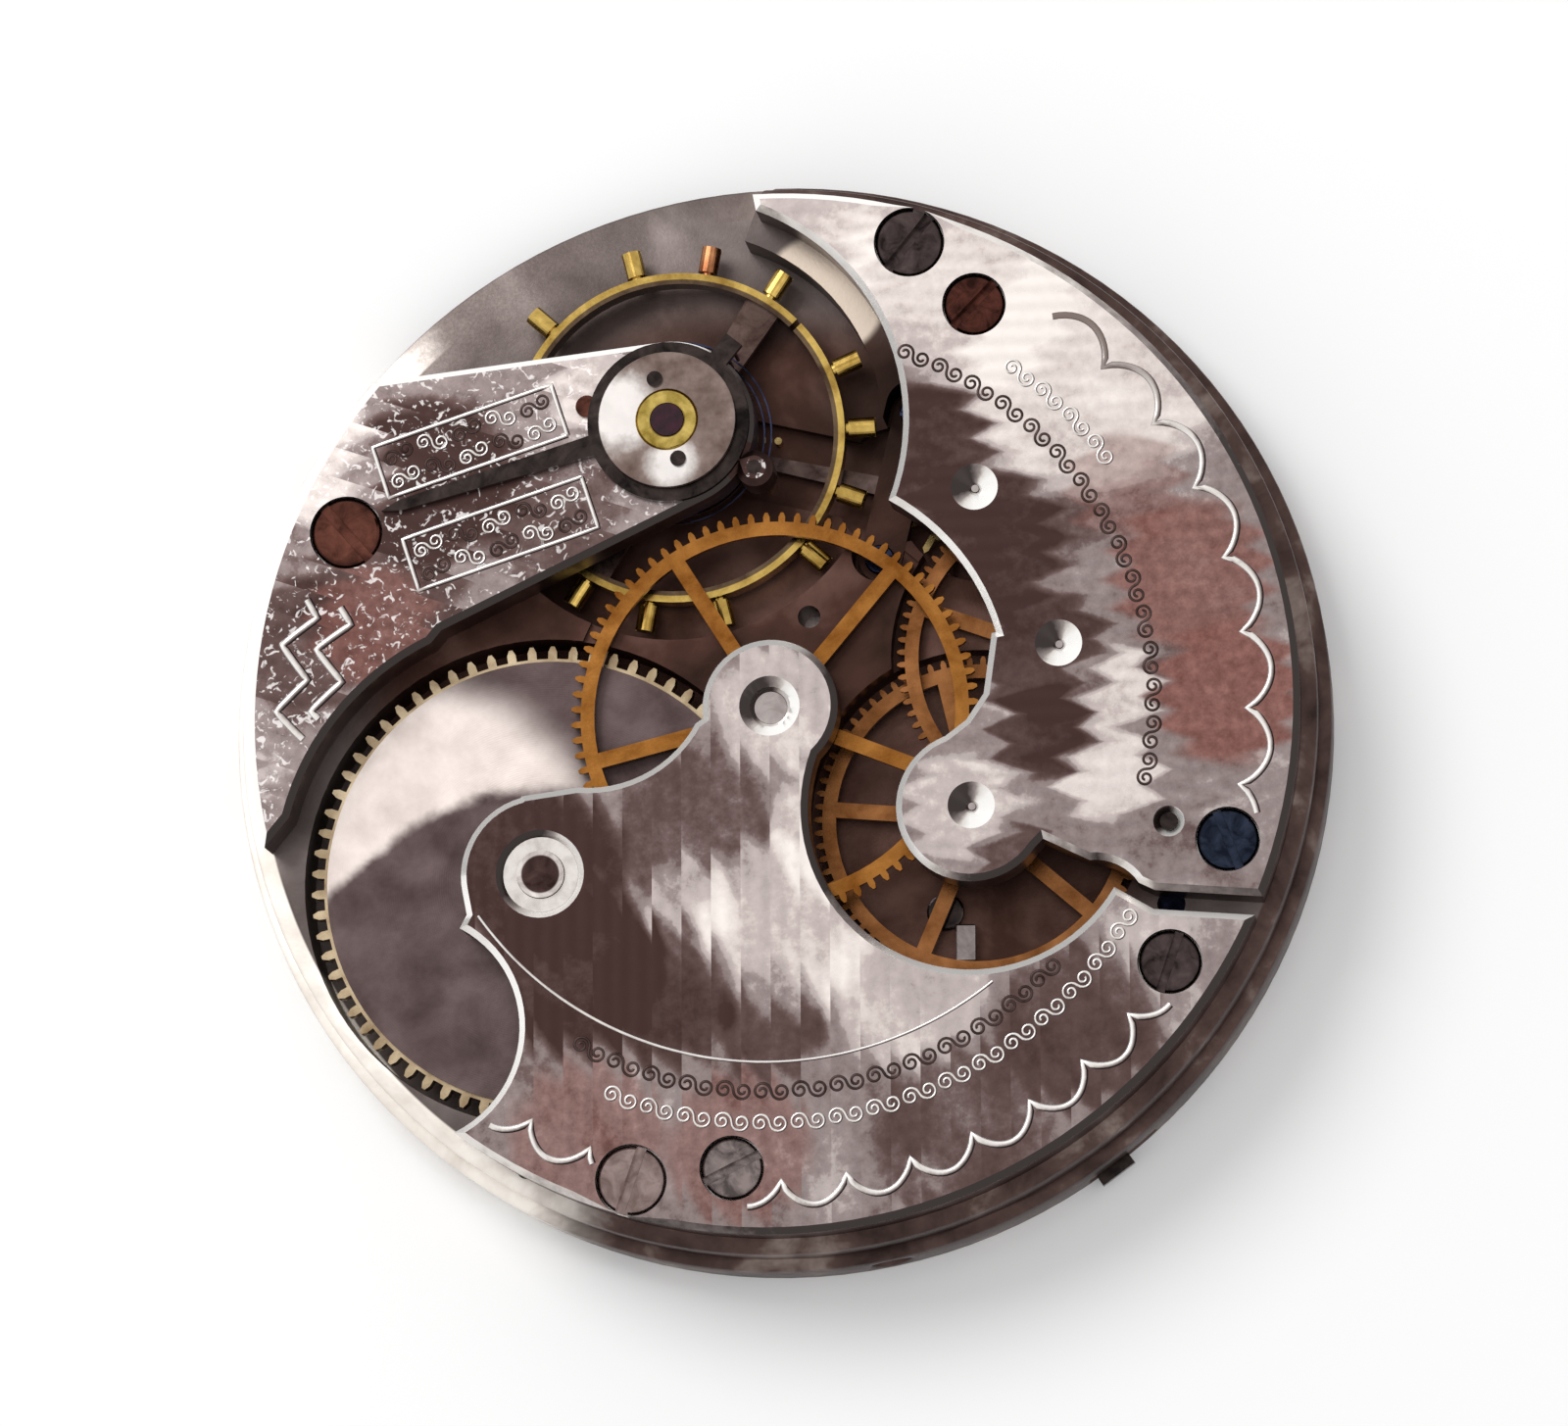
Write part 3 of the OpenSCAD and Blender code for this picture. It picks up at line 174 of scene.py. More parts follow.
def rim_colour(tree, spot, grey):
    """Turned rim of the plate: bright beside the cock with painted glare on the side towards the key lamp,
    grey beside the balance, brown elsewhere, partly tarnish and partly painted shade on the side away from
    the lamp.
    """
    # painted light: the rim's colour turns pale on the side facing the lamp and dark on the far side
    side = calc(tree, "COSINE", calc(tree, "SUBTRACT", spot.bearing, math.radians(180)))
    top = calc(tree, "COSINE", calc(tree, "SUBTRACT", spot.bearing, math.radians(104)))
    patches = mottle(tree, spot.point, 0.4, 4.0, 0.6, 0.3)
    side = plus(tree, side, spread(tree, patches, 0.12, -0.06))
    dark = shades(tree, patches, (0.3, (0.026, 0.015, 0.013)), (0.55, (0.075, 0.046, 0.04)),
                  (0.75, (0.22, 0.17, 0.15)))
    # pale colour of the painted glare
    pale = shades(tree, patches, (0.3, (0.64, 0.57, 0.51)), (0.6, (0.84, 0.79, 0.73)))
    dark = blend_colour(tree, band(tree, top, 0.88, 0.97), dark, grey)
    return blend_colour(tree, band(tree, side, 0.48, 0.66), dark, pale)


def plate_nickel(name):
    """Frosted plate: warm grey on its open sector, dark brown in the pockets and under the balance as tarnish
    with painted shade, a painted shadow beside the balance, a painted sheen on the step above it, and a
    turned rim outside.
    """
    finish, tree, shader = new_finish(name, 0.9, 0.45)
    spot = place_mm(tree)
    patches = mottle(tree, spot.point, 0.25, 4.0, 0.55, 0.3)
    grey = shades(tree, patches, (0.28, (0.06, 0.046, 0.042)), (0.5, (0.1, 0.08, 0.074)),
                  (0.74, (0.17, 0.14, 0.132)))
    brown = shades(tree, patches, (0.3, (0.02, 0.009, 0.006)), (0.5, (0.05, 0.022, 0.016)),
                   (0.75, (0.13, 0.07, 0.055)))
    # brown in the pockets and under the balance: tarnish together with painted shade
    open_part = band(tree, spot.radius, 15.0, 18.0)
    balance_shade_and_tarnish = patch(tree, spot.x, spot.y, (-1.7, 12.1), 8.6)
    shown = times(tree, open_part, calc(tree, "SUBTRACT", 1.0, balance_shade_and_tarnish))
    colour = blend_colour(tree, shown, brown, grey)
    # painted shadow: near black in the gap between the balance rim and the train bridge
    gap_shadow = patch(tree, spot.x, spot.y, (6.8, 11.6), 4.6)
    colour = blend_colour(tree, times(tree, gap_shadow, 0.8), colour, (0.012, 0.006, 0.004))
    # painted sheen: a pale patch on the raised step beside the balance
    ledge_sheen = times(tree, patch(tree, spot.x, spot.y, (5.3, 16.4), 3.2), band(tree, spot.z, 4.2, 4.4))
    colour = blend_colour(tree, band(tree, ledge_sheen, 0.1, 0.3), colour, (0.55, 0.46, 0.38))
    turned = band(tree, spot.radius, TURNED_FROM - 0.05, TURNED_FROM + 0.05)
    colour = blend_colour(tree, turned, colour, rim_colour(tree, spot, grey))
    frost = mottle(tree, spot.point, 9.0, 2.0, 0.7)
    coat(tree, shader, colour, frost, 0.25, 0.3)
    relief(tree, shader, frost, 8e-6, 0.6)
    return finish


def placed(name, data):
    """A new object that shows a mesh, a lamp or a camera."""
    item = bpy.data.objects.new(name, data)
    bpy.context.scene.collection.objects.link(item)
    return item


def merged_copy(node, name):
    """A copy of a CAD node's mesh, and its shape for editing with the triangles joined into one skin."""
    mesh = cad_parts[node].data.copy()
    mesh.name = name
    shape = bmesh.new()
    shape.from_mesh(mesh)
    bmesh.ops.remove_doubles(shape, verts=shape.verts, dist=WELD)
    return mesh, shape


def bevel(shape, edges, width, segments, clamp=True, finish=TOP_FINISH):
    """Bevel some edges of a shape."""
    bmesh.ops.bevel(shape, geom=edges, offset=width, offset_type="OFFSET", segments=segments, profile=0.5,
                    affect="EDGES", clamp_overlap=clamp, material=finish)


def settle(mesh, shape, finishes):
    """Put an edited shape back into its mesh with its finishes, smooth up to its sharp edges."""
    for face in shape.faces:
        face.smooth = True
    for edge in shape.edges:
        edge.smooth = len(edge.link_faces) == 2 and edge.calc_face_angle() < SHARP_ANGLE
    mesh.materials.clear()
    for finish in finishes:
        mesh.materials.append(finish)
    shape.to_mesh(mesh)
    shape.free()


def edged_copy(node, name, finishes, edges_of, width, segments=1, clamp=False, sunk_below=0.0):
    """A copy of a CAD node whose chosen edges are bevelled: bevels and sunk floors take the second finish,
    walls the third."""
    mesh, shape = merged_copy(node, name)
    bmesh.ops.dissolve_limit(shape, angle_limit=FLAT_ANGLE, verts=shape.verts, edges=shape.edges,
                             delimit={"NORMAL"})
    for face in shape.faces:
        face.material_index = TOP_FINISH
    chosen = [e for e in shape.edges if len(e.link_faces) == 2 and e.is_convex
              and e.calc_face_angle() > CORNER_ANGLE and edges_of(e)]
    bevel(shape, chosen, width, segments, clamp, EDGE_FINISH)
    bmesh.ops.dissolve_degenerate(shape, dist=SLIVER, edges=shape.edges)
    for face in shape.faces:
        if face.material_index == TOP_FINISH:
            face.normal_update()
            slope = face.normal.z
            if abs(slope) < WALL_SLOPE:
                face.material_index = WALL_FINISH
            elif WALL_SLOPE <= slope < TOP_SLOPE:
                face.material_index = EDGE_FINISH
            elif slope > 0 and face.calc_center_median().z < sunk_below:
                face.material_index = EDGE_FINISH
    settle(mesh, shape, finishes)
    piece = placed(name, mesh)
    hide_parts(node)
    return piece


def on_rim(edge):
    """Whether an edge runs round the plate's rim."""
    return min(v.co.xy.length for v in edge.verts) > RIM_FROM


plate_finish = plate_nickel("frosted_plate")
plate = edged_copy("main_plate", "plate_body", [plate_finish] * 3, on_rim, RIM_BEVEL, 2)
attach(plate, "frame")

# Barrel: a nickelled drum with cut teeth round its upper edge, closed by a snapped in cover. The cover is
# grained in circles and carries a painted reflection, one broad bright crescent; the teeth have worn through
# to yellow brass.
BARREL = (-10.2505, -4.6499)
ARBOR_TOP = 6.2


def barrel_face(name):
    """Cover of the barrel: dark grained nickel, with a painted reflection bright above a bowed line on the
    side of the cock.
    """
    finish, tree, shader = new_finish(name, 0.95, 0.4)
    spot = place_mm(tree, BARREL)
    patches = mottle(tree, spot.point, 0.45, 4.0, 0.55, 0.2)
    aside = plus(tree, spot.x, 1.5)
    bow = times(tree, times(tree, aside, aside), 0.05)
    over = plus(tree, calc(tree, "SUBTRACT", spot.y, 3.9), bow)
    over = plus(tree, over, spread(tree, patches, 1.2, -0.6))
    # painted reflection: the cover turns bright above the bowed line, on the cock's side
    near = band(tree, patch(tree, spot.x, spot.y, (-5.5, 1.2), 10.8), 0.1, 0.5)
    reflection_share = times(tree, band(tree, over, -0.35, 0.4), near)
    low = shades(tree, patches, (0.3, (0.055, 0.036, 0.035)), (0.7, (0.125, 0.09, 0.088)))
    high = shades(tree, patches, (0.3, (0.5, 0.43, 0.4)), (0.7, (0.72, 0.64, 0.6)))
    rings = calc(tree, "SINE", times(tree, spot.radius, 70.0))
    fine = mottle(tree, spot.point, 6.0, 2.0, 0.7)
    coat(tree, shader, blend_colour(tree, reflection_share, low, high), fine, 0.25, 0.36)
    relief(tree, shader, spread(tree, rings, 0.15, fine), 5e-6, 0.7)
    return finish


def brass(name, dark, light, scale=0.8, roughness=0.3):
    """Brass or gilt work: colour uneven from lacquer and handling, fine grained."""
    finish, tree, shader = new_finish(name, 1.0, roughness)
    point = place_mm(tree).point
    patches = mottle(tree, point, scale, 4.0, 0.6, 0.3)
    fine = mottle(tree, point, 12.0, 2.0, 0.6)
    coat(tree, shader, shades(tree, patches, (0.3, dark), (0.68, light)), fine, 0.22, roughness - 0.11)
    relief(tree, shader, fine, 4e-6, 0.5)
    return finish


def steel(name, dark, light, roughness=0.22):
    """Polished steel with faint swirls; dark and light are its two shades."""
    finish, tree, shader = new_finish(name, 1.0, roughness)
    point = place_mm(tree).point
    patches = mottle(tree, point, 1.1, 4.0, 0.6, 0.6)
    fine = mottle(tree, point, 14.0, 2.0, 0.6)
    coat(tree, shader, shades(tree, patches, (0.3, dark), (0.7, light)), fine, 0.2, roughness - 0.1)
    relief(tree, shader, fine, 3e-6, 0.4)
    return finish


def arbor_end(name):
    """Arbor of the barrel: dark steel, its upper end turned to a ring painted pale round a dark centre,
    partly polish and partly painted highlight.
    """
    finish, tree, shader = new_finish(name, 1.0, 0.25)
    spot = place_mm(tree, BARREL)
    patches = mottle(tree, spot.point, 1.1, 4.0, 0.6, 0.6)
    dark = shades(tree, patches, (0.3, (0.02, 0.01, 0.009)), (0.7, (0.085, 0.05, 0.045)))
    # painted highlight: a pale ring on the arbor's upper end, standing for the shine of a polished chamfer
    ring = times(tree, band(tree, spot.radius, 0.72, 0.8), band(tree, spot.z, ARBOR_TOP - 0.2, ARBOR_TOP))
    pale = shades(tree, patches, (0.3, (0.34, 0.28, 0.26)), (0.65, (0.78, 0.72, 0.69)))
    coat(tree, shader, blend_colour(tree, ring, dark, pale), patches, 0.2, 0.12)
    return finish


def dress(finish, *nodes):
    """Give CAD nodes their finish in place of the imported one."""
    for node in nodes:
        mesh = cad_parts[node].data
        mesh.materials.clear()
        mesh.materials.append(finish)


barrel_brass = brass("worn_barrel_brass", (0.2, 0.13, 0.07), (0.6, 0.48, 0.32), 0.5)
dress(barrel_brass, "barrel_drum")
dress(barrel_face("barrel_face_nickel"), "barrel_cover")
dress(arbor_end("barrel_arbor_steel"), "barrel_arbor")

# Mainspring: a long strip of blue grey steel coiled in the drum, hooked on the arbor inside and on the
# drum's wall outside. It is wound here from a spiral of many close turns.
SPRING_INNER = 1.86 * mm
SPRING_OUTER = 8.33 * mm
SPRING_TURNS = 13
SPRING_END = 90
SPRING_THICK = 0.16 * mm
STRIP_STEPS = 48
spring_steel = steel("spring_steel", (0.1, 0.12, 0.16), (0.25, 0.28, 0.34), 0.25)


def from_shape(name, shape, finish):
    """A new piece of one finish from an edited shape."""
    mesh = bpy.data.meshes.new(name)
    shape.to_mesh(mesh)
    shape.free()
    mesh.materials.append(finish)
    return placed(name, mesh)


def spiral_strip(name, centre, inner, outer, turns, end_bearing, thick, box, finish):
    """A flat strip on a spiral, its outer end at a bearing and its height that of a box; a closed band of
    four faces a step."""
    low, high = box[0].z, box[1].z
    half = thick / 2
    shape = bmesh.new()
    rows = []
    count = int(turns * STRIP_STEPS)
    for i in range(count + 1):
        share = i / count
        angle = math.radians(end_bearing + 360 * turns * (1 - share))
        radius = inner + (outer - inner) * share
        row = []
        for off, height in ((-half, low), (half, low), (half, high), (-half, high)):
            row.append(shape.verts.new((centre[0] + (radius + off) * math.cos(angle),
                                        centre[1] + (radius + off) * math.sin(angle), height)))
        rows.append(row)
    for a, b in zip(rows, rows[1:]):
        for k in range(4):
            shape.faces.new((a[k], a[(k + 1) % 4], b[(k + 1) % 4], b[k]))
    shape.faces.new(rows[0])
    shape.faces.new(list(reversed(rows[-1])))
    bmesh.ops.recalc_face_normals(shape, faces=shape.faces)
    return from_shape(name, shape, finish)


barrel_axis = (BARREL[0] * mm, BARREL[1] * mm)
mainspring = spiral_strip("wound_mainspring", barrel_axis, SPRING_INNER, SPRING_OUTER, SPRING_TURNS,
                          SPRING_END, SPRING_THICK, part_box("mainspring"), spring_steel)
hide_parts("mainspring")
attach(mainspring, "barrel")

# Going train: gilt wheels crossed out to five thin spokes, riveted to polished steel pinions. The centre
# wheel is the brightest; the third and fourth wheels sit deeper and are browner, partly their gilt and partly
# painted shade.
centre_gilt = brass("centre_wheel_gilt", (0.16, 0.054, 0.009), (0.36, 0.15, 0.034), 0.7, 0.28)
# darker gilt of the deeper wheels: partly their own colour, partly painted shade under the bridges
third_gilt = brass("third_wheel_gilt", (0.12, 0.042, 0.012), (0.3, 0.125, 0.045), 0.7, 0.3)
bright_steel = steel("polished_steel", (0.3, 0.25, 0.24), (0.46, 0.41, 0.39))
dress(centre_gilt, "centre_wheel")
dress(third_gilt, "third_wheel", "fourth_wheel")
dress(bright_steel, "centre_pinion", "third_pinion", "fourth_pinion", "escape_pinion", "cannon_pinion")

# Escapement: a brass escape wheel with club teeth, a steel lever with two ruby pallet stones under its own
# small cock, and the two pins that bank the lever.
escape_brass = brass("escape_wheel_brass", (0.24, 0.15, 0.05), (0.5, 0.36, 0.15), 1.2, 0.26)


def ruby(name):
    """Polished ruby, dark wine red in its depth."""
    finish, tree, shader = new_finish(name, 0.0, 0.06)
    depth = mottle(tree, place_mm(tree).point, 2.5, 2.0, 0.55)
    colour = shades(tree, depth, (0.3, (0.008, 0.001, 0.003)), (0.7, (0.04, 0.004, 0.014)))
    tree.links.new(colour, shader.inputs["Base Color"])
    shader.inputs["Specular IOR Level"].default_value = 0.3
    return finish


stone_red = ruby("dark_ruby")
lever_steel = steel("pallet_lever_steel", (0.03, 0.018, 0.015), (0.11, 0.075, 0.066), 0.3)
blue_steel = steel("blued_steel", (0.012, 0.014, 0.03), (0.05, 0.06, 0.12), 0.2)
dress(escape_brass, "escape_wheel", "banking_pins")
dress(lever_steel, "pallet_fork", "pallet_arbor")
dress(stone_red, "pallet_stones")
dress(plate_finish, "pallet_cock")
dress(blue_steel, "pallet_cock_screws")

# Balance: a cut bimetallic rim, brass outside steel, with gold screws along it and a flat arm. It turns on
# a polished steel staff with the roller below the arm and the hairspring's collet above.
BALANCE = (-1.698, 12.121)
ARM_BEARING = 46
RIM_INNER = 6.3
RIM_RADIUS = 6.8
RIM_MIDDLE = 3.5
BRASS_FROM = 6.53
SCREW_HEAD = 0.4
SCREW_REACH = 1.2
SCREW_SLOT = 0.13
SCREWS_PER_HALF = (-55, -34, 0, 23, 47, 81, 103)
COPPER_SCREW = (BALANCE[0] + 2.65, BALANCE[1] + 6.9)
balance_gold = brass("balance_gold", (0.26, 0.15, 0.03), (0.66, 0.46, 0.13), 0.9, 0.22)
arm_steel = steel("balance_arm_steel", (0.035, 0.018, 0.015), (0.12, 0.08, 0.07), 0.3)


def two_metals(name):
    """Rim of the balance: yellow brass outside, fused to a thin inner layer of dark steel."""
    finish, tree, shader = new_finish(name, 1.0, 0.22)
    spot = place_mm(tree, BALANCE)
    patches = mottle(tree, spot.point, 0.9, 4.0, 0.6, 0.3)
    outer = shades(tree, patches, (0.3, (0.26, 0.15, 0.03)), (0.68, (0.62, 0.43, 0.12)))
    inner = shades(tree, patches, (0.3, (0.05, 0.03, 0.02)), (0.68, (0.15, 0.1, 0.06)))
    share = band(tree, spot.radius, BRASS_FROM - 0.02, BRASS_FROM + 0.02)
    fine = mottle(tree, spot.point, 12.0, 2.0, 0.6)
    coat(tree, shader, blend_colour(tree, share, inner, outer), fine, 0.22, 0.11)
    relief(tree, shader, fine, 4e-6, 0.5)
    return finish


rim_mesh, rim_shape = merged_copy("balance_wheel", "balance_rim_and_arm")
for face in rim_shape.faces:
    nearest = min((v.co.xy - Vector(BALANCE) * mm).length for v in face.verts)
    face.material_index = 0 if nearest > RIM_INNER * mm else 1
settle(rim_mesh, rim_shape, (two_metals("brass_and_steel"), arm_steel))
balance_rim = placed("balance_rim_and_arm", rim_mesh)
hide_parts("balance_wheel")
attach(balance_rim, "balance")


def new_tree(name, inputs):
    """A geometry tree with named number inputs."""
    tree = bpy.data.node_groups.new(name, "GeometryNodeTree")
    tree.interface.new_socket("Geometry", in_out="INPUT", socket_type="NodeSocketGeometry")
    for label in inputs:
        tree.interface.new_socket(label, in_out="INPUT", socket_type="NodeSocketFloat")
    tree.interface.new_socket("Geometry", in_out="OUTPUT", socket_type="NodeSocketGeometry")
    return tree, tree.nodes.new("NodeGroupInput")


def along_x(tree, start):
    """A place at a distance along x."""
    return add_node(tree, "ShaderNodeCombineXYZ", (("X", start),)).outputs[0]


def moved(tree, geometry, *changes):
    """A geometry shifted, turned or scaled."""
    return add_node(tree, "GeometryNodeTransform", (("Geometry", geometry), *changes)).outputs[0]


def joined(tree, first, second):
    """Two geometries as one."""
    both = add_node(tree, "GeometryNodeJoinGeometry", (("Geometry", first),))
    tree.links.new(second, both.inputs["Geometry"])
    return both.outputs[0]


def end_tree(tree, geometry, finish):
    """Close a tree: its result becomes one plain mesh with its finish."""
    solid = add_node(tree, "GeometryNodeRealizeInstances", (("Geometry", geometry),))
    tint = add_node(tree, "GeometryNodeSetMaterial", (("Geometry", solid.outputs[0]), ("Material", finish)))
    add_node(tree, "NodeGroupOutput", (("Geometry", tint.outputs[0]),))


def grow_from(tree, start, shape, finish):
    """Put the shape on every point, turned by the point's own bearing."""
    turn = add_node(tree, "GeometryNodeInputNamedAttribute", (("Name", "turn"),), data_type="FLOAT")
    spin = add_node(tree, "ShaderNodeCombineXYZ", (("Z", turn.outputs["Attribute"]),))
    aim = add_node(tree, "FunctionNodeEulerToRotation", (("Euler", spin.outputs[0]),))
    copies = add_node(tree, "GeometryNodeInstanceOnPoints", (("Points", start.outputs["Geometry"]),
                      ("Instance", shape), ("Rotation", aim.outputs[0])))
    end_tree(tree, copies.outputs[0], finish)


def grown(name, places, tree, values, edges=()):
    """Points with a bearing each, joined by edges where lines are meant, grown into one plain mesh."""
    mesh = bpy.data.meshes.new(name + "_points")
    mesh.from_pydata([place[:3] for place in places], edges, [])
    bearings = mesh.attributes.new("turn", "FLOAT", "POINT")
    for item, place in zip(bearings.data, places):
        item.value = place[3]
    piece = placed(name, mesh)
    modifier = piece.modifiers.new("grow", "NODES")
    modifier.node_group = tree
    for item in tree.interface.items_tree:
        if item.item_type == "SOCKET" and item.in_out == "INPUT" and item.name in values:
            modifier[item.identifier] = values[item.name]
    ready = piece.evaluated_get(bpy.context.evaluated_depsgraph_get())
    done = bpy.data.meshes.new_from_object(ready)
    piece.modifiers.clear()
    piece.data = done
    done.name = name
    return piece


def screw_gold(name, copper_at):
    """Gold of the timing screws; one of them is a coppery replacement."""
    finish, tree, shader = new_finish(name, 1.0, 0.22)
    spot = place_mm(tree)
    patches = mottle(tree, spot.point, 0.9, 4.0, 0.6, 0.3)
    gold = shades(tree, patches, (0.3, (0.26, 0.15, 0.03)), (0.68, (0.66, 0.46, 0.13)))
    copper = shades(tree, patches, (0.3, (0.18, 0.06, 0.025)), (0.68, (0.5, 0.22, 0.1)))
    here = band(tree, patch(tree, spot.x, spot.y, copper_at, 1.6), 0.1, 0.2)
    coat(tree, shader, blend_colour(tree, here, gold, copper), patches, 0.2, 0.12)
    return finish


def rod(tree, sides, radius, length, middle):
    """A round rod along x, its middle at a distance."""
    upright = add_node(tree, "GeometryNodeMeshCylinder", (("Vertices", sides), ("Radius", radius),
                       ("Depth", length)))
    return moved(tree, upright.outputs["Mesh"], ("Rotation", (0.0, math.radians(90), 0.0)),
                 ("Translation", along_x(tree, middle)))


def screw_tree(finish):
    """A timing screw lying along x: a thin neck, a head with a broad slot."""
    tree, start = new_tree("timing_screw", ("Head radius", "Reach", "Slot"))
    head_r, reach, slot = (start.outputs[label] for label in ("Head radius", "Reach", "Slot"))
    neck = rod(tree, 20, times(tree, head_r, 0.62), times(tree, reach, 0.5), times(tree, reach, 0.27))
    head = rod(tree, 28, head_r, times(tree, reach, 0.88), times(tree, reach, 0.56))
    groove = add_node(tree, "ShaderNodeCombineXYZ", (("X", times(tree, slot, 3.0)),
                      ("Y", times(tree, head_r, 3.0)), ("Z", slot)))
    bar = add_node(tree, "GeometryNodeMeshCube", (("Size", groove.outputs[0]),))
    bar = moved(tree, bar.outputs["Mesh"], ("Translation", along_x(tree, reach)))
    slotted = add_node(tree, "GeometryNodeMeshBoolean", (("Mesh 1", head), ("Mesh 2", bar)),
                       operation="DIFFERENCE")
    grow_from(tree, start, joined(tree, neck, slotted.outputs["Mesh"]), finish)
    return tree


def polar(radius, bearing):
    """The place at a radius and a bearing in degrees."""
    angle = math.radians(bearing)
    return radius * math.cos(angle), radius * math.sin(angle)


timing_gold = screw_gold("timing_screw_gold", COPPER_SCREW)
screw_places = []
for half in (0, 180):
    for step in SCREWS_PER_HALF:
        turn = ARM_BEARING + half + step
        x, y = polar(RIM_RADIUS, turn)
        screw_places.append(((BALANCE[0] + x) * mm, (BALANCE[1] + y) * mm, RIM_MIDDLE * mm,
                             math.radians(turn)))
timing_screws = grown("balance_rim_screws", screw_places, screw_tree(timing_gold),
                      {"Head radius": SCREW_HEAD * mm, "Reach": SCREW_REACH * mm, "Slot": SCREW_SLOT * mm})
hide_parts("balance_screws")
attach(timing_screws, "balance")
dress(bright_steel, "balance_staff", "impulse_roller")
dress(stone_red, "impulse_jewel")
dress(balance_gold, "hairspring_collet")

# Hairspring: a ribbon of blued steel thinner than a hair, about a dozen turns from the collet on the staff
# to the stud under the cock.
COIL_INNER = 0.79 * mm
COIL_OUTER = 3.9 * mm
COIL_TURNS = 11
COIL_END = 320
COIL_THICK = 0.06 * mm
staff_low, staff_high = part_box("balance_staff")
staff_axis = ((staff_low.x + staff_high.x) / 2, (staff_low.y + staff_high.y) / 2)
hairspring = spiral_strip("coiled_hairspring", staff_axis, COIL_INNER, COIL_OUTER, COIL_TURNS, COIL_END,
                          COIL_THICK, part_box("hairspring"), blue_steel)
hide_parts("hairspring")
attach(hairspring, "balance")

# Bridges: nickel plates finished with damaskeening, bands ruled by a wheel whose bright and dark toothed
# patches are painted reflections, with reddish tarnish in places. Their edges are bevelled and polished,
# and the plain pivot holes have bright oil sinks.
BRIDGE_TOP = 6.5 * mm
BRIDGE_BEVEL = 0.26 * mm
SINK_FLOOR = BRIDGE_TOP - 0.1 * mm
LUG_REACH = 0.95 * mm
TOP_WITHIN = 0.01 * mm
# direction towards the key lamp; bevels facing it are painted bright
TOWARD_KEY_LAMP = (-0.75, 0.66, 0.0)
STUD_LUG = polar(9.69, 82.36)
SCREW_HOLES = [(*polar(out, bearing), reach) for out, bearing, reach in (
    (18.08, 51.7, 1.5), (18.93, -28.7, 1.5), (18.91, -44.9, 1.5), (18.41, 254.1, 1.5),
    (18.61, 145.3, 1.7), (19.55, 62.0, 1.6), (19.55, 242.5, 1.6))]
SCREW_HOLES.append((*STUD_LUG, 0.45))


def wall_nickel(name):
    """Side walls: dark reddish brown, partly tarnish and partly painted shade, with pale rubbed streaks along
    them.
    """
    finish, tree, shader = new_finish(name, 0.95, 0.34)
    point = place_mm(tree).point
    patches = mottle(tree, point, 0.35, 4.0, 0.6, 0.4)
    colour = shades(tree, patches, (0.3, (0.018, 0.009, 0.008)), (0.52, (0.055, 0.03, 0.026)),
                    (0.75, (0.17, 0.13, 0.12)))
    drawn = add_node(tree, "ShaderNodeMapping", (("Vector", point), ("Scale", (0.6, 0.6, 14.0))))
    lines = mottle(tree, drawn.outputs[0], 1.0, 2.0, 0.6)
    coat(tree, shader, colour, lines, 0.2, 0.24)
    relief(tree, shader, lines, 6e-6)
    return finish


def edge_nickel(name, dull=None):
    """Polished bevels and oil sinks with painted light: almost white where they face the key lamp, on the
    side of the cock, and painted shade where they face away; dull is a place, with its reach, where they are
    brown."""
    finish, tree, shader = new_finish(name, 0.5, 0.16)
    spot = place_mm(tree)
    wear = mottle(tree, spot.point, 1.3, 4.0, 0.6)
    # painted highlight and shade: the tone follows how far the surface faces the lamp
    slope = add_node(tree, "ShaderNodeTexCoord").outputs["Normal"]
    facing = add_node(tree, "ShaderNodeVectorMath", ((0, slope), (1, TOWARD_KEY_LAMP)), operation="DOT_PRODUCT")
    tone = spread(tree, facing.outputs["Value"], 1.25, spread(tree, wear, 0.4, 0.38))
    colour = shades(tree, tone, (0.15, (0.03, 0.02, 0.018)), (0.42, (0.3, 0.25, 0.235)),
                    (0.6, (0.76, 0.71, 0.67)), (0.85, (0.95, 0.93, 0.9)))
    if dull:
        worn = patch(tree, spot.x, spot.y, dull[:2], dull[2])
        colour = blend_colour(tree, worn, colour, (0.2, 0.15, 0.135))
    coat(tree, shader, colour, wear, -0.18, 0.28)
    return finish


